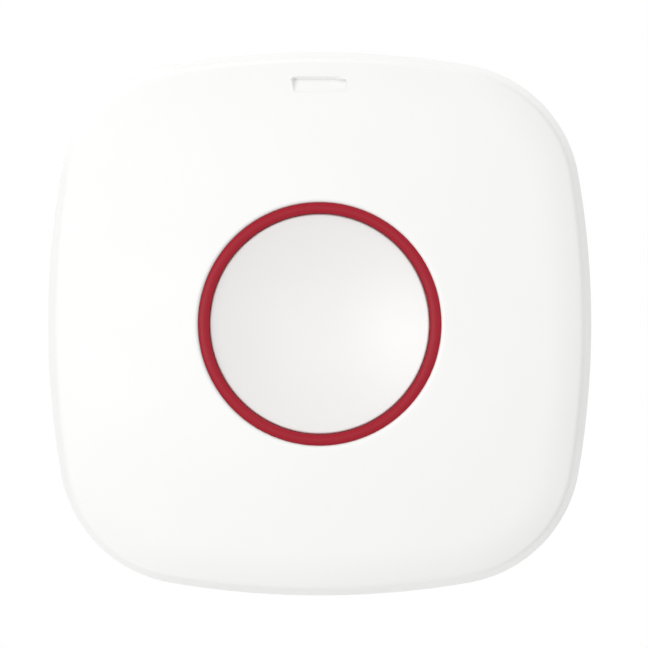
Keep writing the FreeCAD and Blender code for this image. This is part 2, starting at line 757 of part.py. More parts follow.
def make_aerial_coil():
    """Lies across the board near its lower edge, on two legs."""
    body = new_body("aerial_coil")
    radius = s.aerial_diameter / 2
    middle = board_front + s.aerial_lift + s.aerial_wire / 2 + radius
    half = s.aerial_pitch * s.aerial_turns / 2
    wire = new_sketch(body, "XY_Plane", -aerial_drop, -middle)
    coil(circle(wire, s.aerial_wire / 2, -half, radius), "H_Axis", s.aerial_pitch, s.aerial_turns)
    legs = new_sketch(body, "XZ_Plane", board_front)
    for x in (half, -half):
        circle(legs, s.aerial_wire / 2, x, -aerial_drop)
    pad(legs, s.aerial_lift + s.aerial_wire / 2)
    return body


def make_small_parts():
    """A row of capacitors below the shield and one of resistors below the controller."""
    bodies = []
    drop = s.shield_length / 2 + s.chip_part_length
    for label, side in (("capacitor", -1), ("resistor", 1)):
        for number in range(4):
            place = shield_place + s.chip_part_pitch * (number - 1.5)
            bodies.append(make_block("%s_%d" % (label, number + 1), s.chip_part_width,
                                     s.chip_part_length, s.chip_part_width, place * side, -drop, 0.1))
    return bodies


# Cell, its holder and its two sprung contacts, behind the board

def make_coin_cell():
    body = new_body("coin_cell")
    radius = s.cell_diameter / 2
    bevel = s.cell_bevel
    lid_radius = radius - s.cell_bevel * 3
    lid_step = cell_front - s.cell_bevel
    revolved(outline(new_sketch(body, "XY_Plane"), [
        (ZERO, -cell_back), (radius - bevel, -cell_back), (radius, -(cell_back + bevel)),
        (radius, -(lid_step - bevel)), (radius - bevel, -lid_step), (lid_radius, -lid_step),
        (lid_radius - bevel, -cell_front), (ZERO, -cell_front),
    ]))
    return body


def make_cell_holder():
    body = new_body("cell_holder")
    window = collar_inner - s.holder_wall * 2
    outer = collar_inner + s.holder_wall
    web = s.board_depth - (s.board_depth - cell_front) / 2
    revolved(outline(new_sketch(body, "XY_Plane"), [
        (collar_inner, -holder_back), (outer, -holder_back), (outer, -s.board_depth),
        (window, -s.board_depth), (window, -web), (collar_inner, -web),
    ]))
    gap = s.contact_width / 2 + s.cell_gap
    way = new_sketch(body, "XZ_Plane", s.board_depth)
    rectangle(way, window + s.holder_wall, outer + s.holder_wall, -gap, gap)
    pocket(way, s.board_depth - holder_back)
    return body


def make_negative_contact():
    """A strip on the board that rises to the middle of the cell's front."""
    body = new_body("negative_contact")
    sheet_front = cell_front + s.post_gap
    foot_end = -(s.cell_diameter / 6)
    foot_start = foot_end - s.contact_width
    tip_start = s.cell_diameter / 8
    tip_end = tip_start + s.contact_width / 2
    back = s.board_depth - s.contact_sheet
    pad(outline(new_sketch(body, "XY_Plane"), [
        (foot_start, -s.board_depth), (foot_end, -s.board_depth),
        (tip_start, -(sheet_front + s.contact_sheet)), (tip_end, -(sheet_front + s.contact_sheet)),
        (tip_end, -sheet_front), (tip_start, -sheet_front), (foot_end, -back), (foot_start, -back),
    ]), s.contact_width, both_ways=True)
    return body


def make_positive_contact():
    """A sheet that stands beside the holder and reaches in to the cell's side."""
    body = new_body("positive_contact")
    tip = s.cell_diameter / 2 + s.post_gap
    riser = collar_inner + s.holder_wall + s.cell_gap
    finger = cell_front - s.cell_bevel * 2
    foot_end = riser + s.contact_width / 2
    back = s.board_depth - s.contact_sheet
    pad(outline(new_sketch(body, "XY_Plane"), [
        (foot_end, -s.board_depth), (riser, -s.board_depth), (riser, -finger), (tip, -finger),
        (tip, -(finger - s.contact_sheet)), (riser + s.contact_sheet, -(finger - s.contact_sheet)),
        (riser + s.contact_sheet, -back), (foot_end, -back),
    ]), s.contact_width, both_ways=True)
    return body


# Tamper switch, whose plunger passes through the rear case to the wall plate

def make_tamper_switch():
    body = new_body("tamper_switch_body")
    base = new_sketch(body, "XZ_Plane", tamper_back)
    middle_rectangle(base, s.switch_width, s.switch_width, s.tamper_side, -tamper_drop)
    pad(base, s.tamper_height)
    chamfered(body, edges_where(body, along_depth), s.switch_width / 12)
    well = new_sketch(body, "XZ_Plane", tamper_back)
    circle(well, tamper_hole, s.tamper_side, -tamper_drop)
    pocket(well, s.tamper_height * 0.7, forwards=True)
    return body


def make_tamper_plunger():
    """Turned about its own axis, with a ball end that runs on the wall plate."""
    body = new_body("tamper_plunger")
    shoulder = tamper_tip + tamper_radius
    top = tamper_back + s.tamper_height * 0.6
    revolved(outline(new_sketch(body, "XY_Plane"), [
        (ZERO, -tamper_tip, tamper_radius, -1), (tamper_radius, -shoulder),
        (tamper_radius, -top), (ZERO, -top),
    ]))
    place(body, s.tamper_side, -tamper_drop)
    return body


def place(body, x, z):
    body.Placement = FreeCAD.Placement(FreeCAD.Vector(x.value, 0, z.value), FreeCAD.Rotation())
    body.setExpression("Placement.Base.x", x.formula)
    body.setExpression("Placement.Base.z", z.formula)


# Rear case

def make_rear_case():
    body = new_body("rear_case")
    rim = case_outline(new_sketch(body, "XZ_Plane", s.parting_depth), ZERO)
    pad(rim, s.parting_depth - back_depth, -s.back_lean_angle, backwards=True)
    rounded(body, edges_where(body, lambda e: at_depth(e, back_depth)), s.back_round)
    chamfered(body, edges_where(body, lambda e: at_depth(e, s.parting_depth)), s.parting_chamfer)
    tongue_inset = s.cover_wall + s.shell_gap + s.tongue_height * tangent(s.side_lean_angle)
    pad(case_outline(new_sketch(body, "XZ_Plane", s.parting_depth), tongue_inset), s.tongue_height)
    tongue_top = s.parting_depth + s.tongue_height
    room = case_outline(new_sketch(body, "XZ_Plane", tongue_top), s.tray_wall)
    pocket(room, tongue_top - floor_depth)

    ledge_outer = door_seat_radius + s.post_wall
    inside_floor = floor_depth - s.rear_wall / 2
    revolved(outline(new_sketch(body, "XY_Plane"), [
        (ZERO, -inside_floor), (ledge_outer, -inside_floor),
        (ledge_outer, -ledge_front), (ZERO, -ledge_front),
    ]))
    revolved(outline(new_sketch(body, "XY_Plane"), [
        (ZERO, -s.plate_thickness), (door_seat_radius, -s.plate_thickness),
        (door_seat_radius, -ledge_back), (ledge_radius, -ledge_back),
        (ledge_radius, -ledge_front), (ZERO, -ledge_front),
    ]), "PartDesign::Groove")
    notch_inner = ledge_radius - s.door_gap
    notch_outer = door_lug_radius + s.door_gap
    notch = revolved(outline(new_sketch(body, "XY_Plane", turn=s.door_turn_angle), [
        (notch_inner, -door_top), (notch_outer, -door_top),
        (notch_outer, -ledge_front), (notch_inner, -ledge_front),
    ]), "PartDesign::Groove", s.door_lug_angle + s.door_play_angle)
    round_the_axis(notch, 3)
    stop_turn = -(s.door_lug_angle / 2 + s.door_stop_angle)
    stop_foot = ledge_back + s.door_flange / 2
    stop = revolved(outline(new_sketch(body, "XY_Plane", turn=stop_turn), [
        (ledge_radius, -stop_foot), (notch_outer, -stop_foot),
        (notch_outer, -door_lug_front), (ledge_radius, -door_lug_front),
    ]), "PartDesign::Revolution", s.door_stop_angle)
    round_the_axis(stop, 3)

    recess = s.screw_head / 2 + s.screw_gap
    posts = new_sketch(body, "XZ_Plane", inside_floor)
    recesses = new_sketch(body, "XZ_Plane", s.screw_seat)
    holes = new_sketch(body, "XZ_Plane", s.board_depth)
    for x in (screw_half, -screw_half):
        for z in (screw_half, -screw_half):
            circle(posts, recess + s.post_wall / 2, x, z)
            circle(recesses, recess, x, z)
            circle(holes, screw_radius + s.screw_gap, x, z)
    tamper_x, tamper_z = s.tamper_side, -tamper_drop
    pad(posts, s.board_depth - inside_floor)
    guide = new_sketch(body, "XZ_Plane", inside_floor)
    circle(guide, tamper_hole + s.post_wall * 0.6, tamper_x, tamper_z)
    pad(guide, tamper_back - s.lug_gap - inside_floor)
    pocket(recesses, s.screw_seat - s.plate_thickness)
    circle(holes, tamper_hole, tamper_x, tamper_z)
    pocket(holes, s.board_depth - s.plate_thickness)

    slots = new_sketch(body, "XZ_Plane", floor_depth)
    half = s.hook_width / 2 + s.hook_gap
    for x in (hook_column, -hook_column):
        for z in (s.hook_upper, s.hook_lower):
            rectangle(slots, x - half, x + half, z - s.slide_travel - s.hook_gap,
                      z + s.hook_stem + s.hook_gap)
    pocket(slots, floor_depth - s.plate_thickness)
    return body


# Battery door: a disc in the rear case's back, with a collar and three lugs behind its ledge

def make_battery_door():
    body = new_body("battery_door")
    disc = door_seat_radius - s.door_gap
    rib = s.cell_diameter * 0.4
    rib_top = cell_back - s.post_gap
    revolved(outline(new_sketch(body, "XY_Plane"), [
        (ZERO, -door_face), (disc, -door_face), (disc, -door_top), (collar_outer, -door_top),
        (collar_outer, -door_lug_front), (collar_inner, -door_lug_front), (collar_inner, -door_top),
        (rib, -door_top), (rib, -rib_top), (rib - s.holder_wall, -rib_top),
        (rib - s.holder_wall, -door_top), (ZERO, -door_top),
    ]))
    inside_collar = collar_inner + s.door_collar_wall / 2
    lug = revolved(outline(new_sketch(body, "XY_Plane"), [
        (inside_collar, -door_lug_back), (door_lug_radius, -door_lug_back),
        (door_lug_radius, -door_lug_front), (inside_collar, -door_lug_front),
    ]), "PartDesign::Revolution", s.door_lug_angle)
    round_the_axis(lug, 3)
    slot = new_sketch(body, "XZ_Plane", door_face)
    rounded_rectangle(slot, s.coin_slot_length, s.coin_slot_width, s.coin_slot_width * 0.45)
    pocket(slot, s.coin_slot_cut, forwards=True)
    return body


# Wall plate

def make_wall_plate():
    body = new_body("wall_plate")
    wall_inset = s.plate_inset + s.parting_depth * tangent(s.back_lean_angle)
    pad(case_outline(new_sketch(body, "XZ_Plane"), wall_inset), s.plate_thickness, s.back_lean_angle)
    chamfered(body, edges_where(body, lambda e: at_depth(e, s.plate_thickness)), s.parting_chamfer)

    inside = s.plate_thickness / 2
    tip_back = floor_depth + s.hook_gap
    tip_front = tip_back + s.hook_tip_thickness
    for x in (hook_column, -hook_column):
        for z in (s.hook_upper, s.hook_lower):
            crook = z + s.hook_stem
            top = crook + s.hook_tip
            pad(outline(new_sketch(body, "YZ_Plane", x), [
                (-inside, z), (-tip_front, z), (-tip_front, top - s.hook_lead),
                (-(tip_front - s.hook_lead), top), (-tip_back, top), (-tip_back, crook), (-inside, crook),
            ]), s.hook_width, both_ways=True)

    tongue_z = -breakaway_drop
    hole_radius = s.wall_screw_hole / 2
    holes = new_sketch(body, "XZ_Plane", s.plate_thickness)
    for x in (s.wall_screw_spacing / 2, -(s.wall_screw_spacing / 2)):
        circle(holes, hole_radius, x)
    circle(holes, hole_radius, -s.breakaway_screw_side, tongue_z)
    pocket(holes, s.plate_thickness)
    rims = edges_where(body, lambda e: is_round(e, hole_radius) and at_depth(e, s.plate_thickness))
    chamfered(body, rims, (s.wall_screw_sink - s.wall_screw_hole) / 2)

    low = s.plate_thickness - s.tamper_release
    start = -tamper_drop
    end = start + s.slide_travel
    beyond = end + s.tamper_diameter
    above = s.plate_thickness + s.tamper_release
    ramp = outline(new_sketch(body, "YZ_Plane", s.tamper_side), [
        (-s.plate_thickness, start), (-low, end), (-low, beyond), (-above, beyond), (-above, start),
    ])
    groove = pocket(ramp, s.tamper_diameter * 1.4)
    groove.Midplane = True

    slits = new_sketch(body, "XZ_Plane", s.plate_thickness)
    half_wide = s.breakaway_width / 2
    half_high = s.breakaway_height / 2
    across = half_wide - s.breakaway_web
    upright = half_high - s.breakaway_web
    for side in (1, -1):
        x = half_wide * side
        z = tongue_z + half_high * side
        middle_rectangle(slits, s.breakaway_slit, upright * 2, x, tongue_z)
        middle_rectangle(slits, across * 2, s.breakaway_slit, ZERO, z)
    pocket(slits, s.plate_thickness)
    return body


# Case screws, turned about their own axes

def make_case_screw(label, x, z):
    body = new_body(label)
    head = s.screw_head / 2
    head_back = s.screw_seat - s.screw_head_height
    shoulder = head_back + s.screw_head_height / 3
    revolved(outline(new_sketch(body, "XY_Plane"), [
        (ZERO, -head_back), (head * 0.75, -head_back), (head, -shoulder), (head, -s.screw_seat),
        (screw_radius, -s.screw_seat), (screw_radius, -(screw_tip - screw_radius)),
        (screw_radius / 3, -screw_tip), (ZERO, -screw_tip),
    ]))
    arm = s.screw_head * 0.3
    slim = s.screw_head * 0.08
    cross = [(arm, slim), (slim, slim), (slim, arm)]
    corners = []
    for turn_x, turn_z, flip in ((1, 1, False), (-1, 1, True), (-1, -1, False), (1, -1, True)):
        quarter = [(px * turn_x, pz * turn_z) for px, pz in cross]
        corners += reversed(quarter) if flip else quarter
    pocket(outline(new_sketch(body, "XZ_Plane", head_back), corners),
           s.screw_head_height * 0.55, forwards=True)
    place(body, x, z)
    return body


def make_screws():
    names = (("upper_right", 1, 1), ("upper_left", -1, 1), ("lower_left", -1, -1), ("lower_right", 1, -1))
    return [make_case_screw("case_screw_" + name, screw_half * across, screw_half * up)
            for name, across, up in names]


pieces = [
    make_front_cover(),
    make_trim_ring(),
    make_button_cap(),
    make_return_spring(),
    make_light_guide(),
    make_circuit_board(),
    make_main_switch(),
    make_main_plunger(),
    make_indicator_lamp(),
    make_radio_shield(),
    make_block("radio_chip", s.chip_width, s.chip_width, s.chip_height, -shield_place, ZERO, 0.1),
    make_block("controller_chip", s.chip_width, s.chip_width, s.chip_height, shield_place, ZERO, 0.1),
    make_block("crystal", s.crystal_width, s.crystal_length, s.crystal_height,
               shield_place, s.chip_width + s.crystal_length / 2, 0.3),
    make_aerial_coil(),
    *make_small_parts(),
    make_coin_cell(),
    make_cell_holder(),
    make_negative_contact(),
    make_positive_contact(),
    make_tamper_switch(),
    make_tamper_plunger(),
    make_rear_case(),
    make_battery_door(),
    make_wall_plate(),
    *make_screws(),
]
doc.recompute()

for thing in doc.Objects:
    if "Invalid" in thing.State or "Error" in thing.State:
        raise RuntimeError("%s failed: %s" % (thing.Label, thing.State))
for piece in pieces:
    if piece.Shape.isNull() or not piece.Shape.isValid() or len(piece.Shape.Solids) != 1:
        raise RuntimeError("%s isn't one sound solid" % piece.Label)

os.makedirs("parts", exist_ok=True)
for piece in pieces:
    piece.Shape.exportStep(os.path.join("parts", piece.Label + ".step"))
    print("%-22s %8.1f mm3" % (piece.Label, piece.Shape.Volume))
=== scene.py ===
import json
import math

import bmesh
import bpy
import numpy as np
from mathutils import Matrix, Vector

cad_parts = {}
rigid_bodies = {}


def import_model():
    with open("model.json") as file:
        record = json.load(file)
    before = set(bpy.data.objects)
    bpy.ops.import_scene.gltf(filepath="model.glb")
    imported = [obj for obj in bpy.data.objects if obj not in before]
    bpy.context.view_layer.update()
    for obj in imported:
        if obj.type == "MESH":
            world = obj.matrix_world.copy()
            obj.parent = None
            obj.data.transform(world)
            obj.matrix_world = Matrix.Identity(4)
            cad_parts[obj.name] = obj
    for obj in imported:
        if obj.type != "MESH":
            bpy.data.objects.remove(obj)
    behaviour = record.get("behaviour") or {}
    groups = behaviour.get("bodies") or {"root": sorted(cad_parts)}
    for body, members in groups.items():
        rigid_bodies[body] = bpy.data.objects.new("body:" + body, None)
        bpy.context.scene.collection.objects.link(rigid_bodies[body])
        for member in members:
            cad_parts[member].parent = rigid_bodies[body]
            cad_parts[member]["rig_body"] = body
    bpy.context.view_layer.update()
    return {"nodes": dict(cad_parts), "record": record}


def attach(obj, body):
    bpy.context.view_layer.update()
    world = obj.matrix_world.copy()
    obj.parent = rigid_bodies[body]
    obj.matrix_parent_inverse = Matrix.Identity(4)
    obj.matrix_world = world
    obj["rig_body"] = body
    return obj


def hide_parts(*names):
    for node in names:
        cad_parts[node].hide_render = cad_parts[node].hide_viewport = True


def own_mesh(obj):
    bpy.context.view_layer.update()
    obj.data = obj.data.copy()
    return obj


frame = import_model()
mm = 0.001  # lengths below are in millimetres, and depths are from the wall towards the viewer
print("frame loaded:", len(frame["nodes"]), "nodes")


# Helpers for meshes. Both "Apart" values and thin are in metres, the angles in degrees.

merging = {"gridApart": 1e-7, "nodeApart": 2e-6, "thin": 1e-7, "flat": 0.4, "sharp": 40.0,
           "bevelSteps": 2, "smoothUpTo": 32.0}


def addObject(name, data):
    thing = bpy.data.objects.new(name, data)
    bpy.context.scene.collection.objects.link(thing)
    return thing


def gridFaces(rows, columns, closeRows, closeColumns):
    # every cell of a grid of points as one face, wrapped round where the grid is closed
    row = np.arange(rows if closeRows else rows - 1)[:, None]
    column = np.arange(columns if closeColumns else columns - 1)[None, :]
    nextRow, nextColumn = (row + 1) % rows, (column + 1) % columns
    corners = [row * columns + column, row * columns + nextColumn,
               nextRow * columns + nextColumn, nextRow * columns + column]
    cells = (row.size, column.size)
    return np.stack([np.broadcast_to(c, cells) for c in corners], axis=-1).reshape(-1, 4)


def meshFromGrid(name, x, depth, z, closeRows=False, closeColumns=False):
    # x, depth and z are arrays of one shape, rows by columns; y is minus the depth. Doubled points,
    # such as those of a pole, are merged, and the faces turned outwards
    points = np.stack([x, -depth, z], axis=-1).reshape(-1, 3) * mm
    faces = gridFaces(x.shape[0], x.shape[1], closeRows, closeColumns)
    mesh = bpy.data.meshes.new(name)
    mesh.from_pydata(points.tolist(), [], faces.tolist())
    work = bmesh.new()
    work.from_mesh(mesh)
    bmesh.ops.remove_doubles(work, verts=work.verts, dist=merging["gridApart"])
    bmesh.ops.dissolve_degenerate(work, edges=work.edges, dist=merging["gridApart"])
    bmesh.ops.recalc_face_normals(work, faces=work.faces)
    work.to_mesh(mesh)
    work.free()
    return mesh


def addPiece(name, mesh, body, material, replaced):
    # the finished object: smooth apart from its sharper edges
    mesh.shade_smooth()
    mesh.set_sharp_from_angle(angle=math.radians(merging["smoothUpTo"]))
    mesh.materials.clear()
    mesh.materials.append(material)
    piece = addObject(name, mesh)
    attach(piece, body)
    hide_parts(*replaced)
    return piece


def combine(mesh, other, operation):
    # one closed mesh added to another or taken away from it
    base, tool = addObject("base", mesh), addObject("tool", other)
    step = base.modifiers.new("step", "BOOLEAN")
    step.operation, step.object, step.solver = operation, tool, "EXACT"
    bpy.context.view_layer.update()
    shaped = base.evaluated_get(bpy.context.evaluated_depsgraph_get())
    result = bpy.data.meshes.new_from_object(shaped)
    bpy.data.objects.remove(tool)
    bpy.data.objects.remove(base)
    return result


def joined(meshes):
    # several closed meshes as one
    work = bmesh.new()
    for mesh in meshes:
        work.from_mesh(mesh)
    whole = bpy.data.meshes.new(meshes[0].name)
    work.to_mesh(whole)
    work.free()
    return whole


def filleted(corners, steps=5, closed=True):
    # a polygon of (a, b, radius) corners, in which each one with a radius becomes an arc of it
    parts = []
    for i, (a, b, radius) in enumerate(corners):
        here = np.array([a, b], float)
        if radius == 0 or (not closed and i in (0, len(corners) - 1)):
            parts.append(here[None, :])
            continue
        before = np.array(corners[i - 1][:2], float) - here
        after = np.array(corners[(i + 1) % len(corners)][:2], float) - here
        before /= np.linalg.norm(before)
        after /= np.linalg.norm(after)
        half = math.acos(np.clip(before @ after, -1, 1)) / 2
        towards = (before + after) / np.linalg.norm(before + after)
        middle = here + towards * radius / math.sin(half)
        first = here + before * radius / math.tan(half) - middle
        last = here + after * radius / math.tan(half) - middle
        turn = math.acos(np.clip(first @ last / radius ** 2, -1, 1))
        share = np.linspace(0, 1, steps + 1)[:, None]
        arc = (np.sin((1 - share) * turn) * first + np.sin(share * turn) * last) / math.sin(turn)
        parts.append(middle + arc)
    return np.vstack(parts)


def turned(name, profile, sides, closed=True, x=0.0, z=0.0):
    # a profile of (radius, depth) turned about an axis along the depth: x = r cos a, z = r sin a
    angle = np.linspace(0, 2 * np.pi, sides, endpoint=False)
    radius, depth = profile[:, 0:1], profile[:, 1:2]
    return meshFromGrid(name, x + radius * np.cos(angle), depth + 0 * angle,
                        z + radius * np.sin(angle), closeRows=closed, closeColumns=True)


def sector(name, inner, outer, low, high, angle, heading, steps=8):
    # a rectangle of radius and depth carried round part of a circle, closed at both ends:
    # x = r cos a, z = r sin a
    profile = np.array([(inner, low), (outer, low), (outer, high), (inner, high)])
    turn = np.radians(np.linspace(heading - angle / 2, heading + angle / 2, steps + 1))
    turn = np.concatenate([turn[:1], turn, turn[-1:]])[:, None]
    middle = profile.mean(axis=0)
    radius = np.repeat(profile[None, :, 0], turn.size, axis=0)
    depth = np.repeat(profile[None, :, 1], turn.size, axis=0)
    radius[[0, -1]], depth[[0, -1]] = middle
    return meshFromGrid(name, radius * np.cos(turn), depth, radius * np.sin(turn),
                        closeColumns=True)


def tube(name, line, radius, axis, sides=16):
    # a circle carried along a line: each point is the line plus radius times a unit vector that
    # turns across it, starting square to the line and to the axis that the line winds about
    along = np.gradient(line, axis=0)
    along /= np.linalg.norm(along, axis=1, keepdims=True)
    across = np.cross(along, np.array(axis, float))
    across /= np.linalg.norm(across, axis=1, keepdims=True)
    other = np.cross(along, across)
    angle = np.linspace(0, 2 * np.pi, sides, endpoint=False)[None, :, None]
    spokes = np.cos(angle) * across[:, None, :] + np.sin(angle) * other[:, None, :]
    rings = line[:, None, :] + radius * spokes
    ends = [np.repeat(line[[i]][:, None, :], sides, axis=1) for i in (0, -1)]
    points = np.concatenate([ends[0], rings, ends[1]], axis=0)
    return meshFromGrid(name, points[:, :, 0], points[:, :, 1], points[:, :, 2], closeColumns=True)


def mergedCopy(node, edge):
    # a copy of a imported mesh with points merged, flat faces joined and edges rounded by that much
    mesh = frame["nodes"][node].data.copy()
    work = bmesh.new()
    work.from_mesh(mesh)
    bmesh.ops.remove_doubles(work, verts=work.verts, dist=merging["nodeApart"])
    bmesh.ops.dissolve_degenerate(work, edges=work.edges, dist=merging["thin"])
    if edge:
        bmesh.ops.dissolve_limit(work, angle_limit=math.radians(merging["flat"]), verts=work.verts,
                                 edges=work.edges)
        sharp = [e for e in work.edges
                 if e.is_manifold and e.calc_face_angle() > math.radians(merging["sharp"])]
        bmesh.ops.bevel(work, geom=sharp, offset=edge * mm, segments=merging["bevelSteps"],
                        profile=0.5, affect="EDGES", clamp_overlap=True)
        bmesh.ops.triangulate(work, faces=[f for f in work.faces if len(f.verts) > 4])
    work.to_mesh(mesh)
    work.free()
    return mesh


# Helpers for materials

def linear(code):
    # an sRGB hex colour as linear values
    value = np.array([int(code[i:i + 2], 16) for i in (0, 2, 4)]) / 255
    value = np.where(value <= 0.04045, value / 12.92, ((value + 0.055) / 1.055) ** 2.4)
    return (*value.tolist(), 1.0)


def addNode(tree, kind, inputs=None, **settings):
    # a node with its settings, and its sockets linked or set
    node = tree.nodes.new(kind)
    for key, value in settings.items():
        setattr(node, key, value)
    for key, value in (inputs or {}).items():
        if isinstance(value, bpy.types.NodeSocket):
            tree.links.new(value, node.inputs[key])
        else:
            node.inputs[key].default_value = value
    return node


def newMaterial(name, **sockets):
    # a material and its shader, with the constants set on the shader itself
    material = bpy.data.materials.new(name)
    material.use_nodes = True
    shader = material.node_tree.nodes["Principled BSDF"]
    for key, value in sockets.items():
        shader.inputs[key.replace("_", " ")].default_value = value
    return material, material.node_tree, shader


def addNoise(tree, vector, size, detail, roughness=0.5):
    # a noise with features of that size in millimetres
    return addNode(tree, "ShaderNodeTexNoise", {"Vector": vector, "Scale": 1 / (size * mm),
                                                "Detail": detail, "Roughness": roughness})


def mottled(tree, shader, one, two, size, detail=2.0):
    # colour = the first tone + (second - first) * a noise whose patches have that size
    place = addNode(tree, "ShaderNodeTexCoord")
    noise = addNoise(tree, place.outputs["Object"], size, detail)
    mix = addNode(tree, "ShaderNodeMix", {0: noise.outputs["Fac"], 6: linear(one), 7: linear(two)},
                  data_type="RGBA")
    tree.links.new(mix.outputs[2], shader.inputs["Base Color"])
    return place, noise


def raised(tree, shader, source, height, strength=1.0):
    # the shading bends as if the surface stood up by the source's value times the height
    bump = addNode(tree, "ShaderNodeBump", {"Height": source, "Strength": strength,
                                            "Distance": height * mm})
    tree.links.new(bump.outputs["Normal"], shader.inputs["Normal"])


def bumped(tree, shader, place, size, height):
    # a fine uneven surface: grains of that size and height in millimetres
    grain = addNoise(tree, place.outputs["Object"], size, detail=3.0, roughness=0.6)
    raised(tree, shader, grain.outputs["Fac"], height)


def spreadRoughness(tree, shader, noise, low, high):
    # roughness = low + (high - low) * the noise, stretched from its usual 0.3 to 0.7
    spread = addNode(tree, "ShaderNodeMapRange", {"Value": noise.outputs["Fac"], "From Min": 0.3,
                                                  "From Max": 0.7, "To Min": low, "To Max": high})
    tree.links.new(spread.outputs["Result"], shader.inputs["Roughness"])


# ABS moulded against a spark-eroded steel mould: an even satin white. The real grain is about
# 0.05 mm, too fine to show, so it is drawn at 0.3 mm and very shallow.

satinWhite = {"tone": "F4F4F3", "shade": "F1F1EF", "patch": 14.0, "grain": 0.3, "height": 0.0016,
              "roughness": (0.36, 0.44), "specular": 0.5}


def mouldedAbs(name, values):
    # colour and roughness follow one noise in patches, and a second, finer noise gives the grain
    material, tree, shader = newMaterial(name, IOR=1.53, Specular_IOR_Level=values["specular"])
    place, noise = mottled(tree, shader, values["tone"], values["shade"], values["patch"])
    spreadRoughness(tree, shader, noise, *values["roughness"])
    bumped(tree, shader, place, values["grain"], values["height"])
    return material


whiteAbs = mouldedAbs("whiteMouldedAbs", satinWhite)
# The cap's white is darker than the cover's. Part of that is the cap's own greyer tone, and part is
# painted shade: the whole cap is darkened so that its dish reads as shaded.
capGreyAndPaintedShadeAbs = mouldedAbs("capMouldedAbs", {**satinWhite, "tone": "E9E8E6", "shade": "E6E5E3",
                                      "grain": 0.24, "roughness": (0.3, 0.36), "specular": 1.0})
print("white plastics made")


# The case's plan outline: four bows and four corners, tangent to one another, with one direction
# across the outline for every inset. It stays within the solid's outline by a hair.

case = {"width": 62.0, "bowRadius": 99.3, "cornerRadius": 15.3, "crown": 18.0, "domeRadius": 147.0,
        "sideLean": 6.3, "crease": 0.9, "shoulder": 5.0, "shoulderSlope": 19.0, "parting": 6.0,
        "partingChamfer": 0.22, "wall": 1.8, "within": 0.012, "bowSteps": 36, "cornerSteps": 30}

bowMiddle = case["bowRadius"] - case["width"] / 2
arcReach = case["bowRadius"] - case["cornerRadius"]
cornerMiddle = (math.sqrt(2 * arcReach ** 2 - bowMiddle ** 2) - bowMiddle) / 2
sideSlope = math.tan(math.radians(case["sideLean"]))


def caseOutline():
    # each arc: its middle plus its radius times (cos a, sin a), repeated every quarter turn
    tangent = math.atan2(cornerMiddle, cornerMiddle + bowMiddle)
    bow = np.linspace(-tangent, tangent, case["bowSteps"], endpoint=False)
    corner = np.linspace(tangent, np.pi / 2 - tangent, case["cornerSteps"], endpoint=False)
    angle = np.concatenate([bow, corner])
    bows = np.arange(angle.size) < bow.size
    middle = np.where(bows, -bowMiddle, cornerMiddle) + 1j * np.where(bows, 0.0, cornerMiddle)
    radius = np.where(bows, case["bowRadius"], case["cornerRadius"])
    quarter = np.exp(0.5j * np.pi * np.arange(4))[:, None]
    across = (np.exp(1j * angle)[None, :] * quarter).ravel()
    points = ((middle + radius * np.exp(1j * angle))[None, :] * quarter).ravel()
    return points, across


def domeDepth(radius, wall=0.0):
    # a sphere with its crown on the axis: crown less R plus the root of R squared less r squared
    big = case["domeRadius"] - wall
    return case["crown"] - case["domeRadius"] + np.sqrt(big ** 2 - radius ** 2)


outlinePoints, outlineAcross = caseOutline()  # complex numbers x + iz
outlinePoints -= case["within"] * outlineAcross


# Button, ring and the cover's seat for them, by radius and depth

button = {"radius": 12.5, "sink": 0.45, "dishRadius": 50.0, "dishEnd": 0.35, "edge": 0.22,
          "wall": 1.4, "skirt": 5.57, "skirtWall": 1.2, "travel": 0.8, "postRadius": 2.2,
          "postFoot": 13.78, "springSeat": (4.55, 6.05), "springSeatFoot": 13.8, "lugRadius": 13.5,
          "lugIn": 0.6, "lugHeight": 0.97, "lugAngle": 17.0, "lugHeadings": (0, 120, 240),
          "skirtRound": 0.12, "hollowRound": 0.3, "ceilingRound": 0.15, "tipRound": 0.08,
          "dishSteps": 25, "sides": 160}
ring = {"inner": 12.58, "width": 1.25, "sink": 0.1, "crownRadius": 1.25, "height": 1.9,
        "shoulder": 0.1, "foot": 0.08, "gap": 0.06, "shown": (12.54, 13.81), "crownSteps": 10,
        "sides": 192}

seatRadius = ring["inner"] + ring["width"] + ring["gap"]
ringCrown = domeDepth(seatRadius) - ring["sink"]
ringSeat = ringCrown - ring["height"]
capEdge = ringCrown - button["sink"]
capFoot = capEdge - button["skirt"]
dishDepth = button["dishRadius"] - math.sqrt(button["dishRadius"] ** 2 - button["radius"] ** 2)
dishMiddle = capEdge - dishDepth


# Front cover with its sleeve, four screw bosses and two stakes for the light guide

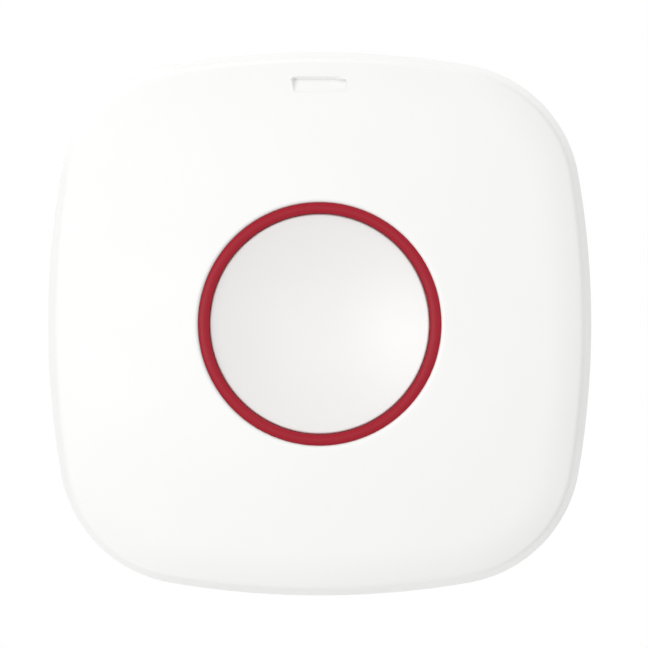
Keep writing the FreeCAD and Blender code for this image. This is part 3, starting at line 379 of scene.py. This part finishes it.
cover = {"lip": 0.35, "seatSnug": 0.004, "sleeveRadius": 14.35, "sleeveClear": 0.15,
         "collarRadius": 14.64, "lugSlotRadius": 13.65, "lugSlotAngle": 18.2, "lugSlotIn": 0.6,
         "lugSlotBelow": 0.3, "lugSlotAbove": 1.0, "bossPlace": 19.5, "bossRadius": 2.52,
         "pilotRadius": 1.02, "pilotTop": 13.45, "boardFront": 9.6, "stakePlace": 4.1,
         "stakeRadius": 0.45, "stakeFoot": 12.31, "bossSides": 40, "stakeSides": 24,
         "creaseInset": (0.2, 4.0), "creaseRounds": 40, "insideRounds": 30, "sideSteps": 8,
         "creaseSteps": 12, "shoulderSteps": 12, "domeSteps": 26, "lipSteps": 7, "insideSteps": 14}
window = {"width": 6.2, "height": 1.7, "corner": 0.25, "rise": 27.2, "slant": 0.46,
          "slantDepth": 0.82, "mouth": 0.4, "mouthSlope": 14.0, "mouthRound": 0.35,
          "slantRound": 0.08, "shaft": 2.0, "overhang": 0.3, "leftIn": 0.13, "rimShare": 0.04,
          "sideShare": 0.62, "foot": 13.26, "taper": (1.1, 0.8), "cornerSteps": 6, "roundSteps": 5,
          "edgeSteps": 16, "guideSnug": 0.042, "guideNose": 14.0, "guideSunk": 0.3,
          "guideLean": 0.2, "below": (0.01, 0.78)}


def shoulderSkin(inset):
    # points and outward directions of the dome at an inset from the outline. Within the shoulder's
    # reach it turns down further: depth = dome - steepness * (reach - inset) squared / 2
    plan = outlinePoints - inset * outlineAcross
    left = np.clip(case["shoulder"] - inset, 0, None)
    steep = math.tan(math.radians(case["shoulderSlope"])) / case["shoulder"]
    depth = domeDepth(np.abs(plan)) - steep * left ** 2 / 2
    fall = plan / np.sqrt(case["domeRadius"] ** 2 - np.abs(plan) ** 2)
    fall = fall + steep * left * outlineAcross
    facing = np.stack([fall.real, fall.imag, np.ones(fall.size)], axis=-1)
    facing /= np.linalg.norm(facing, axis=1, keepdims=True)
    return np.stack([plan.real, plan.imag, depth], axis=-1), facing


def creaseRows():
    # a ball of the crease's radius rolls between the leaning side and the shoulder: halving finds
    # the inset where it touches both, and the surface turns about it from the side's direction to
    # the shoulder's
    ball = case["crease"]
    lean = math.radians(case["sideLean"])
    low, high = [np.full(outlinePoints.size, inset) for inset in cover["creaseInset"]]
    for _ in range(cover["creaseRounds"]):
        inset = (low + high) / 2
        points, facing = shoulderSkin(inset)
        middle = points - ball * facing
        plan = middle[:, 0] + 1j * middle[:, 1]
        within = ((outlinePoints - plan) * np.conj(outlineAcross)).real
        outside = (within - (middle[:, 2] - case["parting"]) * sideSlope) * math.cos(lean) < ball
        low, high = np.where(outside, inset, low), np.where(outside, high, inset)
    side = np.stack([outlineAcross.real * math.cos(lean), outlineAcross.imag * math.cos(lean),
                     np.full(plan.size, math.sin(lean))], axis=-1)
    turn = np.arccos(np.clip((side * facing).sum(axis=1), -1, 1))[:, None]
    share = np.linspace(0, 1, cover["creaseSteps"] + 1)[:, None, None]
    way = (np.sin((1 - share) * turn) * side + np.sin(share * turn) * facing) / np.sin(turn)
    return inset, middle + ball * way


def planRow(plan, depth):
    # one row of points from complex numbers x + iz and a depth for each or all
    return np.stack([plan.real, plan.imag, depth + np.zeros(plan.size)], axis=-1)


def roundRow(radius, depth, heading):
    # one row of points round the axis: x = r cos a, z = r sin a
    return np.stack([radius * np.cos(heading), radius * np.sin(heading), depth + 0 * heading],
                    axis=-1)


def coverShell():
    # rows run from the parting line up the side, over the crease and the dome to the ring's lip,
    # down the seat, bore and sleeve, and back along the inside of the dome and the side; columns
    # run round the case
    inset, crease = creaseRows()
    shares = np.linspace(0, 1, cover["shoulderSteps"] + 1)[1:]
    shoulder = [shoulderSkin(inset + share * (case["shoulder"] - inset))[0] for share in shares]
    chamfer = case["partingChamfer"]
    sideFoot = case["parting"] + chamfer
    side = [planRow(outlinePoints - chamfer * outlineAcross, case["parting"])]
    for share in np.linspace(0, 1, cover["sideSteps"] + 1)[:-1]:
        depth = sideFoot + share * (crease[0, :, 2] - sideFoot)
        side.append(planRow(outlinePoints - (depth - case["parting"]) * sideSlope * outlineAcross,
                            depth))
    edge = shoulder[-1][:, 0] + 1j * shoulder[-1][:, 1]
    heading = np.angle(edge)

    # the lip is an arc that leaves the dome along the dome's own slope and ends square to the seat
    shownSeat = ring["shown"][1] - cover["seatSnug"]
    lip = cover["lip"] + seatRadius - shownSeat
    lipMiddle = shownSeat + lip
    lipTop = domeDepth(lipMiddle)
    lean = math.asin(lipMiddle / case["domeRadius"])
    dome = []
    for share in np.linspace(0, 1, cover["domeSteps"] + 1)[1:]:
        radius = np.abs(edge) + share * (lipMiddle + lip * math.sin(lean) - np.abs(edge))
        dome.append(roundRow(radius, domeDepth(radius), heading))
    turns = np.linspace(math.pi / 2 - lean, math.pi, cover["lipSteps"] + 1)[1:]
    rim = [roundRow(lipMiddle + lip * math.cos(t), lipTop - lip + lip * math.sin(t), heading)
           for t in turns]

    ledge = ringSeat - case["wall"] / 2
    sleeveFoot = capFoot - button["travel"] - cover["sleeveClear"]
    insideTop = domeDepth(cover["collarRadius"], case["wall"])
    seat = [roundRow(radius, depth, heading) for radius, depth in [
        (shownSeat, ringSeat), (ring["inner"], ringSeat),
        (ring["inner"], (ringSeat + sleeveFoot) / 2), (ring["inner"], sleeveFoot),
        (cover["sleeveRadius"], sleeveFoot), (cover["sleeveRadius"], ledge),
        (cover["collarRadius"], ledge), (cover["collarRadius"], insideTop)]]

    # the inside's edge lies on both the inner dome and the inner side: some rounds settle its depth
    depth = domeDepth(np.abs(outlinePoints), case["wall"])
    for _ in range(cover["insideRounds"]):
        within = case["wall"] + (depth - case["parting"]) * sideSlope
        flat = outlinePoints - within * outlineAcross
        depth = domeDepth(np.abs(flat), case["wall"])
    inside = []
    for share in np.linspace(0, 1, cover["insideSteps"] + 1)[1:]:
        radius = cover["collarRadius"] + share * (np.abs(flat) - cover["collarRadius"])
        skewed = heading + share * np.angle(flat * np.exp(-1j * heading))
        inside.append(roundRow(radius, domeDepth(radius, case["wall"]), skewed))
    wall = []
    for share in (0.5, 1.0):
        level = depth + share * (case["parting"] - depth)
        within = case["wall"] + (level - case["parting"]) * sideSlope
        wall.append(planRow(outlinePoints - within * outlineAcross, level))
    rows = np.stack(side + list(crease) + shoulder + dome + rim + seat + inside + wall)
    return meshFromGrid("coverShell", rows[:, :, 0], rows[:, :, 2], rows[:, :, 1],
                        closeRows=True, closeColumns=True)


def windowCutter():
    # a rounded rectangle carried down a profile: its top wall slants up to the cover's face, its
    # left wall does so less and less towards the bottom, and the others are upright. Each point's
    # outset and depth are the profile's times the wall's share, and the top wall's share tapers
    # towards its right end
    left, right = window["leftIn"] - window["width"] / 2, window["width"] / 2
    low, high = -window["height"] / 2, window["height"] / 2 - window["overhang"]
    corner = window["corner"]
    loop = filleted([(right, low, corner), (right, high, corner), (left, high, corner),
                     (left, low, corner)], steps=window["cornerSteps"])
    following = np.roll(loop, -1, axis=0)
    share = np.linspace(0, 1, window["edgeSteps"] + 1)[:-1][:, None]
    straight = np.linalg.norm(following - loop, axis=1) > 2 * corner
    loop = np.vstack([a + share * (b - a) if split else a[None, :]
                      for a, b, split in zip(loop, following, straight)])
    inside = np.clip(loop, [left + corner, low + corner], [right - corner, high - corner])
    across = (loop - inside) / corner
    slope = math.tan(math.radians(window["mouthSlope"]))
    profile = filleted([(window["slant"] + window["mouth"], -window["mouth"] * slope, 0),
                        (window["slant"], 0, window["mouthRound"]),
                        (0, window["slantDepth"], window["slantRound"]),
                        (window["overhang"], window["shaft"], 0)],
                       steps=window["roundSteps"], closed=False)
    outset, below = profile[:, 0], profile[:, 1]
    upwards = (loop[:, 1] - low) / (high - low)
    reach, loss = window["taper"]
    near = np.clip((loop[:, 0] - right + reach) / reach, 0, 1)
    openness = across[:, 1] * (1 - loss * near * near * (3 - 2 * near))
    openness += window["sideShare"] * np.clip(-across[:, 0], 0, 1) * upwards
    openness = np.clip(openness, window["rimShare"], 1)
    plan = loop[None, :, :] + outset[:, None, None] * openness[None, :, None] * across[None, :, :]
    x, z = plan[:, :, 0], plan[:, :, 1] + window["rise"]
    depth = domeDepth(np.hypot(x, z)) - below[:, None] * openness
    depth[-1] = window["foot"]
    cap = domeDepth(window["rise"]) + window["mouth"]
    x = np.vstack([0 * x[0], x, 0 * x[0]])
    z = np.vstack([0 * z[0] + window["rise"], z, 0 * z[0] + window["rise"]])
    depth = np.vstack([0 * depth[0] + cap, depth, 0 * depth[0] + window["foot"]])
    return meshFromGrid("windowCutter", x, depth, z, closeColumns=True)


def buildCover():
    # the shell with its posts added, and the window and the lugs' three slots taken away
    place, front = cover["bossPlace"], cover["boardFront"]
    bossTop = float(domeDepth(place * math.sqrt(2))) - case["wall"] / 2
    bossProfile = np.array([(0, cover["pilotTop"]), (cover["pilotRadius"], cover["pilotTop"]),
                            (cover["pilotRadius"], front), (cover["bossRadius"], front),
                            (cover["bossRadius"], bossTop), (0, bossTop)])
    stakeTop = float(domeDepth(window["rise"])) - case["wall"] / 2
    stakeProfile = np.array([(0, cover["stakeFoot"]), (cover["stakeRadius"], cover["stakeFoot"]),
                             (cover["stakeRadius"], stakeTop), (0, stakeTop)])
    posts = [turned("boss", bossProfile, cover["bossSides"], False, x, z)
             for x in (place, -place) for z in (place, -place)]
    posts += [turned("stake", stakeProfile, cover["stakeSides"], False, x, window["rise"])
              for x in (cover["stakePlace"], -cover["stakePlace"])]
    slotFoot = capFoot - button["travel"] - cover["lugSlotBelow"]
    slots = [sector("lugSlot", ring["inner"] - cover["lugSlotIn"], cover["lugSlotRadius"], slotFoot,
                    capFoot + cover["lugSlotAbove"], cover["lugSlotAngle"], heading)
             for heading in button["lugHeadings"]]
    shell = combine(coverShell(), joined(posts), "UNION")
    return combine(shell, joined([windowCutter()] + slots), "DIFFERENCE")


coverPiece = addPiece("frontCover", buildCover(), "case", whiteAbs, ["front_cover"])
print("front cover:", len(coverPiece.data.polygons), "faces")


# Red ring: glossier ABS, moulded in its own colour. It reads as one deep red with soft highlights.

deepRed = {"tone": "A01629", "shade": "991325", "patch": 6.0, "grain": 0.35, "height": 0.001,
           "roughness": (0.26, 0.32), "specular": 0.22}
redAbs = mouldedAbs("redMouldedAbs", deepRed)


def buildRing():
    # a rectangle whose front is an arc, with small rounds where they meet, turned about the axis
    inner, outer = ring["shown"]
    big = ring["crownRadius"]
    spread = math.asin((outer - inner) / 2 / big)
    angle = np.linspace(-spread, spread, ring["crownSteps"] + 1)
    rounds = np.zeros(angle.size)
    rounds[[0, -1]] = ring["shoulder"]
    crown = [((outer + inner) / 2 + big * math.sin(a), ringCrown - big * (1 - math.cos(a)), radius)
             for a, radius in zip(angle, rounds)]
    corners = [(inner, ringSeat, ring["foot"])] + crown + [(outer, ringSeat, ring["foot"])]
    return turned("trimRing", filleted(corners, steps=4), ring["sides"])


addPiece("redRing", buildRing(), "case", redAbs, ["trim_ring"])


def buildCap():
    # the dish is a sphere's cap; its rim, skirt, ceiling, spring seat and post follow in a profile
    outer, big = button["radius"], button["dishRadius"]
    radius = np.linspace(0, outer - button["dishEnd"], button["dishSteps"] + 1)
    dish = [(r, dishMiddle + big - math.sqrt(big ** 2 - r ** 2), 0) for r in radius]
    inner = outer - button["skirtWall"]
    ceiling = dishMiddle - button["wall"]
    seatIn, seatOut = button["springSeat"]
    seatFoot = button["springSeatFoot"]
    postRadius, postFoot = button["postRadius"], button["postFoot"]
    skirt, hollow = button["skirtRound"], button["hollowRound"]
    top, tip = button["ceilingRound"], button["tipRound"]
    profile = dish + [
        (outer, capEdge, button["edge"]), (outer, capFoot, skirt), (inner, capFoot, skirt),
        (inner, capEdge - button["wall"], hollow),
        (seatOut, ceiling, top), (seatOut, seatFoot, tip), (seatIn, seatFoot, tip),
        (seatIn, ceiling, top), (postRadius, ceiling, top), (postRadius, postFoot, tip),
        (0, postFoot, 0)]
    cap = turned("cap", filleted(profile, closed=False), button["sides"], closed=False)
    lugs = [sector("lug", inner + button["lugIn"], button["lugRadius"], capFoot,
                   capFoot + button["lugHeight"], button["lugAngle"], heading)
            for heading in button["lugHeadings"]]
    return combine(cap, joined(lugs), "UNION")


addPiece("buttonCap", buildCap(), "button", capGreyAndPaintedShadeAbs, ["button_cap"])
print("ring and button made")


# Milky polycarbonate for the light guide: clear resin with a diffusing powder, so light soaks into
# it. Its scatter scale is in metres.

milky = {"tone": "F6F6F5", "shade": "F3F3F2", "patch": 4.0, "grain": 0.4, "height": 0.001,
         "roughness": (0.28, 0.34), "scatter": 0.1, "scatterScale": 0.0005,
         "scatterReach": (1.0, 0.95, 0.9)}


def milkyPolycarbonate():
    # a share of the light spreads under the surface; colour, roughness and grain are as for ABS
    material, tree, shader = newMaterial("milkyPolycarbonate", IOR=1.58,
                                         Subsurface_Weight=milky["scatter"],
                                         Subsurface_Scale=milky["scatterScale"],
                                         Subsurface_Radius=milky["scatterReach"])
    place, noise = mottled(tree, shader, milky["tone"], milky["shade"], milky["patch"])
    spreadRoughness(tree, shader, noise, *milky["roughness"])
    bumped(tree, shader, place, milky["grain"], milky["height"])
    return material


# Metals: a drawn, rolled or plated surface shows fine lines along one way, and its polish varies

metal = {"patch": 2.5, "stretch": (1.0, 1.0, 12.0), "height": 0.002, "strength": 0.6}


def platedMetal(name, one, two, lines, roughness, stretch=metal["stretch"]):
    # roughness and height follow a noise of the lines' size that is squeezed along one axis
    material, tree, shader = newMaterial(name, Metallic=1.0)
    place, _ = mottled(tree, shader, one, two, metal["patch"])
    pulled = addNode(tree, "ShaderNodeMapping", {"Vector": place.outputs["Object"],
                                                 "Scale": stretch})
    streaks = addNoise(tree, pulled.outputs["Vector"], lines, detail=3.0)
    spreadRoughness(tree, shader, streaks, *roughness)
    raised(tree, shader, streaks.outputs["Fac"], metal["height"], metal["strength"])
    return material


# Dark moulded parts: glass-filled nylon of switches and holders has a grey bloom; epoxy is duller

dark = {"patch": 1.6, "detail": 5.0, "grain": 0.12, "height": 0.004}


def darkMoulding(name, one, two, roughness, grain=dark["grain"], height=dark["height"]):
    # as for ABS, with smaller and more broken patches
    material, tree, shader = newMaterial(name, IOR=1.52)
    place, noise = mottled(tree, shader, one, two, dark["patch"], dark["detail"])
    spreadRoughness(tree, shader, noise, *roughness)
    bumped(tree, shader, place, grain, height)
    return material


# Solder mask over woven glass fibre: a clear green, with long tracks of copper beneath it

mask = {"green": "1D5A3A", "otherGreen": "1A5236", "track": "256B45", "trackWidth": 0.13,
        "trackSoft": 0.2, "trackLength": 16.5, "pitch": 1.27, "stagger": 0.37, "squash": 0.7,
        "height": 0.03, "strength": 0.5, "roughness": 0.25, "coat": 0.4, "coatRoughness": 0.12}


def solderMask():
    # a brick pattern in the board's plane: its joints are the tracks, paler and at another height
    material, tree, shader = newMaterial("solderMask", IOR=1.5, Roughness=mask["roughness"],
                                         Coat_Weight=mask["coat"],
                                         Coat_Roughness=mask["coatRoughness"])
    place = addNode(tree, "ShaderNodeTexCoord")
    turnedPlace = addNode(tree, "ShaderNodeMapping", {"Vector": place.outputs["Object"],
                                                      "Rotation": (math.pi / 2, 0, 0)})
    tracks = addNode(tree, "ShaderNodeTexBrick",
                     {"Vector": turnedPlace.outputs["Vector"], "Color1": linear(mask["green"]),
                      "Color2": linear(mask["otherGreen"]), "Mortar": linear(mask["track"]),
                      "Scale": 1.0, "Mortar Size": mask["trackWidth"] * mm,
                      "Mortar Smooth": mask["trackSoft"], "Brick Width": mask["trackLength"] * mm,
                      "Row Height": mask["pitch"] * mm},
                     offset=mask["stagger"], squash=mask["squash"])
    tree.links.new(tracks.outputs["Color"], shader.inputs["Base Color"])
    raised(tree, shader, tracks.outputs["Fac"], mask["height"], mask["strength"])
    return material


alike = (1.0, 1.0, 1.0)
rolled = (12.0, 1.0, 1.0)
lampWhite = {**satinWhite, "tone": "F1EFE8", "shade": "ECE9E0", "patch": 2.0}
finishes = {
    "shell_white": whiteAbs,
    "guide_milky": milkyPolycarbonate(),
    "board_green": solderMask(),
    "switch_black": darkMoulding("glassFilledNylon", "1E1E20", "26262A", (0.42, 0.55)),
    "spring_steel": platedMetal("drawnSpringSteel", "B9BBBD", "A9ABAE", 0.15, (0.22, 0.34)),
    "screw_steel": platedMetal("zincPlatedSteel", "C8CACB", "B9BCC0", 0.3, (0.26, 0.4), alike),
    "shield_tin": platedMetal("tinPlatedSteel", "D2D3D2", "C4C5C5", 0.4, (0.3, 0.42)),
    "chip_black": darkMoulding("mouldedEpoxy", "1A1B1D", "202124", (0.55, 0.68), 0.1, 0.006),
    "aerial_copper": platedMetal("enamelledCopperWire", "B8734A", "A8633C", 0.2, (0.2, 0.3)),
    "capacitor_tan": darkMoulding("firedCeramic", "A88A63", "9C7F5A", (0.4, 0.55), 0.2, 0.002),
    "resistor_black": darkMoulding("glazedResistorFilm", "1B1B1D", "232326", (0.2, 0.3), 0.2,
                                   0.001),
    "cell_steel": platedMetal("nickelPlatedCan", "CBCCCC", "BEBFC0", 0.25, (0.18, 0.3), rolled),
    "contact_nickel": platedMetal("nickelPlatedSpringSheet", "C6C3BA", "B8B5AC", 0.2, (0.2, 0.32)),
    "lamp_white": mouldedAbs("mouldedPolyphthalamide", lampWhite),
}
print("materials made:", len(bpy.data.materials))


def shapeNose(mesh):
    # the guide's nose is pressed into its slot: points in front of its ears move outwards by the
    # same amount, the upper ones down under the slanted wall. Its face lies deeper below the cover
    # the higher it is: below = first + second * share upwards
    place = np.empty(len(mesh.vertices) * 3)
    mesh.vertices.foreach_get("co", place)
    place = place.reshape(-1, 3)
    x, depth, z = place[:, 0] / mm, -place[:, 1] / mm, place[:, 2] / mm
    nose, above = depth > window["guideNose"], z > window["rise"]
    rise = z - window["rise"]
    sunk = domeDepth(window["rise"]) - window["guideSunk"] - window["guideLean"] * rise
    upwards = np.clip(0.5 + rise / window["height"], 0, 1)
    first, second = window["below"]
    below = first + second * upwards
    x = x + nose * (np.sign(x) * window["guideSnug"] + (x < 0) * window["leftIn"])
    z = z + nose * (np.where(above, 1, -1) * window["guideSnug"] - above * window["overhang"])
    depth = depth + nose * (domeDepth(np.hypot(x, z)) - below - sunk)
    mesh.vertices.foreach_set("co", (np.stack([x, -depth, z], axis=1) * mm).ravel())
    mesh.update()


# Wound wire: the return spring with its two closed end turns, and the aerial coil with a leg at
# each end. Only endPitch over openPitch counts, because the spring is stretched to its length.

spring = {"radius": 5.3, "wire": 0.25, "length": 4.2, "turns": 4, "endPitch": 0.54,
          "openPitch": 1.0, "endShare": 1.1, "openRate": 4, "openDelay": 3.2, "steps": 60}
aerial = {"radius": 1.5, "wire": 0.25, "pitch": 1.4, "turns": 11, "drop": 23.0, "lift": 0.4,
          "bend": 0.02, "legClear": 0.1, "legSteps": 8, "steps": 40}


def springLine():
    # a circle that climbs, slowly over the first and last turn, so they lie on their neighbours,
    # and evenly between: depth is the running sum of the pitch
    turns = np.linspace(0, spring["turns"], spring["turns"] * spring["steps"] + 1)
    nearest = np.minimum(turns, spring["turns"] - turns)
    ends = np.clip(nearest * spring["openRate"] - spring["openDelay"], 0, 1)
    rise = spring["length"] - 2 * spring["wire"] * spring["endShare"]
    climb = spring["endPitch"] + ends * (1 - ends / 3) * spring["openPitch"]
    depth = np.concatenate([[0], np.cumsum((climb[1:] + climb[:-1]) / 2)])
    foot = cover["boardFront"] + spring["wire"] * spring["endShare"]
    angle = 2 * np.pi * turns
    return np.stack([spring["radius"] * np.cos(angle), foot + rise * depth / depth[-1],
                     spring["radius"] * np.sin(angle)], axis=1)


def aerialLine():
    # a circle about a line along x that moves one pitch each turn, with a straight leg to the board
    radius, turns = aerial["radius"], aerial["turns"]
    half = aerial["pitch"] * turns / 2
    middle = cover["boardFront"] + aerial["lift"] + aerial["wire"] + radius
    share = np.linspace(aerial["bend"], turns - aerial["bend"], turns * aerial["steps"])
    angle = 2 * np.pi * share
    coil = np.stack([aerial["pitch"] * share - half, middle - radius * np.cos(angle),
                     radius * np.sin(angle) - aerial["drop"]], axis=1)
    leg = np.linspace(cover["boardFront"], middle - radius - aerial["legClear"], aerial["legSteps"])
    first = np.stack([0 * leg - half, leg, 0 * leg - aerial["drop"]], axis=1)
    last = np.stack([0 * leg + half, leg, 0 * leg - aerial["drop"]], axis=1)[::-1]
    return np.vstack([first, coil, last])


springPiece = addPiece("returnSpring", tube("spring", springLine(), spring["wire"], (0, 1, 0)),
                       frame["nodes"]["return_spring"]["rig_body"],
                       finishes["spring_steel"], ["return_spring"])
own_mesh(springPiece)
addPiece("aerialCoil", tube("aerial", aerialLine(), aerial["wire"], (1, 0, 0)),
         frame["nodes"]["aerial_coil"]["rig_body"], finishes["aerial_copper"],
         ["aerial_coil"])
print("wire pieces wound")


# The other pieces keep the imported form, with points merged and edges rounded as moulds and tools
# leave them. A key stands for every node whose name starts with it.

edges = {"rear_case": 0.1, "wall_plate": 0.12, "battery_door": 0.1, "light_guide": 0.008,
         "circuit_board": 0.03, "radio_shield": 0.1, "radio_chip": 0.05, "controller_chip": 0.05,
         "crystal": 0.08, "cell_holder": 0.08, "main_switch_body": 0.08, "tamper_switch_body": 0.08,
         "coin_cell": 0.08, "indicator_lamp": 0.06, "case_screw": 0.06, "capacitor": 0.05,
         "resistor": 0.04}
built = ("front_cover", "trim_ring", "button_cap", "return_spring", "aerial_coil")
shown = [name for name in frame["nodes"] if name not in built]
slotOf = {row["node"]: row["material_slot"] for row in frame["record"]["subparts"]}
for name in shown:
    edge = next((value for key, value in edges.items() if name.startswith(key)), 0.0)
    words = name.split("_")
    pieceName = words[0] + "".join(word.capitalize() for word in words[1:])
    slot = slotOf[name]
    piece = addPiece(pieceName, mergedCopy(name, edge), frame["nodes"][name]["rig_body"],
                     finishes[slot], [name])
    if name == "light_guide":
        shapeNose(piece.data)
print("pieces from the frame:", len(shown))


# Stage: a pale floor below the button that fades out, a white surround and soft lamps. The fade's
# distances are in metres.

stage = {"drop": 50.0, "half": 420.0, "fadeFrom": 0.27, "fadeTo": 0.4, "colour": "EDEDEC",
         "glow": 0.42, "ambient": 0.638}
white = (1, 1, 1, 1)


def buildFloor():
    # a flat grid, one cell each way. Its paint glows a little for the camera, and it turns clear
    # from the first of the fade's distances to the second
    side = np.array([-stage["half"], stage["half"]])
    x, y = np.meshgrid(side, side)
    mesh = meshFromGrid("floor", x, y, 0 * x - stage["drop"])
    material = bpy.data.materials.new("paleFloor")
    material.use_nodes = True
    tree = material.node_tree
    tree.nodes.clear()
    place = addNode(tree, "ShaderNodeTexCoord")
    far = addNode(tree, "ShaderNodeVectorMath", {0: place.outputs["Object"]}, operation="LENGTH")
    fade = addNode(tree, "ShaderNodeMapRange",
                   {"Value": far.outputs["Value"], "From Min": stage["fadeFrom"],
                    "From Max": stage["fadeTo"]}, interpolation_type="SMOOTHSTEP")
    path = addNode(tree, "ShaderNodeLightPath")
    paint = addNode(tree, "ShaderNodeBsdfDiffuse", {"Color": linear(stage["colour"])})
    glow = addNode(tree, "ShaderNodeMath", {0: path.outputs["Is Camera Ray"], 1: stage["glow"]},
                   operation="MULTIPLY")
    light = addNode(tree, "ShaderNodeEmission", {"Strength": glow.outputs["Value"]})
    lit = addNode(tree, "ShaderNodeAddShader", {0: paint.outputs["BSDF"],
                                                1: light.outputs["Emission"]})
    clear = addNode(tree, "ShaderNodeBsdfTransparent")
    mix = addNode(tree, "ShaderNodeMixShader", {0: fade.outputs["Result"], 1: lit.outputs["Shader"],
                                                2: clear.outputs["BSDF"]})
    addNode(tree, "ShaderNodeOutputMaterial", {"Surface": mix.outputs["Shader"]})
    mesh.materials.append(material)
    floor = addObject("floor", mesh)
    floor.visible_diffuse = False
    floor.visible_shadow = False


def buildSurround():
    # white where the camera, gloss or glass sees it, and a plain soft level for everything else
    world = bpy.data.worlds.new("surround")
    bpy.context.scene.world = world
    world.use_nodes = True
    tree = world.node_tree
    tree.nodes.clear()
    path = addNode(tree, "ShaderNodeLightPath")
    seen = addNode(tree, "ShaderNodeMath", {0: path.outputs["Is Camera Ray"],
                                            1: path.outputs["Is Glossy Ray"]}, operation="ADD")
    seen = addNode(tree, "ShaderNodeMath", {0: seen.outputs["Value"],
                                            1: path.outputs["Is Transmission Ray"]},
                   operation="ADD", use_clamp=True)
    soft = addNode(tree, "ShaderNodeBackground", {"Color": white, "Strength": stage["ambient"]})
    bright = addNode(tree, "ShaderNodeBackground", {"Color": white, "Strength": 1.0})
    mix = addNode(tree, "ShaderNodeMixShader", {0: seen.outputs["Value"],
                                                1: soft.outputs["Background"],
                                                2: bright.outputs["Background"]})
    addNode(tree, "ShaderNodeOutputWorld", {"Surface": mix.outputs["Shader"]})


# Lamps: degrees left of the viewing line (right is minus), degrees up, the share of white that each
# gives a surface facing it, how wide it looks in degrees, and whether gloss shows it. Those past 90
# degrees reach the case's sides but not its front. Elsewhere gloss shows the white surround.

lamps = {
    "keyLeft": (52.0, 2.0, 0.33, 24.0, False),
    "frontLeft": (24.0, 2.0, 0.085, 24.0, True),
    "front": (0.0, -5.0, 0.065, 40.0, True),
    "fillRight": (-75.0, 0.0, 0.037, 40.0, False),
    "aboveFront": (-34.0, 47.0, 0.112, 24.0, False),
    "above": (-22.0, 118.0, 0.34, 20.0, False),
    "below": (0.0, -115.0, 0.24, 20.0, False),
}


def buildLamps():
    for name, (left, up, share, wide, inGloss) in lamps.items():
        left, up = math.radians(left), math.radians(up)
        level = math.cos(up)
        shines = Vector((math.sin(left) * level, math.cos(left) * level, -math.sin(up)))
        lamp = bpy.data.lights.new(name, "SUN")
        lamp.energy = share * math.pi
        lamp.angle = math.radians(wide)
        thing = addObject(name, lamp)
        thing.rotation_mode = "QUATERNION"
        thing.rotation_quaternion = shines.to_track_quat("-Z", "Y")
        thing.visible_camera = False
        thing.visible_glossy = inGloss


# The camera faces the button straight on from far away, so both outline and ring keep their
# proportions. Its clipping distances are in metres.

view = {"focal": 1200.0, "sensor": 36.0, "frameWidth": 73.9, "facingDepth": 6.0, "x": 0.49,
        "z": -0.01, "clip": (0.05, 10.0)}


def buildCamera():
    camera = bpy.data.cameras.new("camera")
    camera.lens, camera.sensor_width = view["focal"], view["sensor"]
    camera.clip_start, camera.clip_end = view["clip"]
    away = view["frameWidth"] * view["focal"] / view["sensor"]
    thing = addObject("camera", camera)
    thing.location = (view["x"] * mm, -(view["facingDepth"] + away) * mm, view["z"] * mm)
    thing.rotation_euler = (math.pi / 2, 0, 0)
    bpy.context.scene.camera = thing


buildFloor()
buildSurround()
buildLamps()
buildCamera()
bpy.context.scene.view_settings.view_transform = "Standard"
print("stage, lamps and camera made")
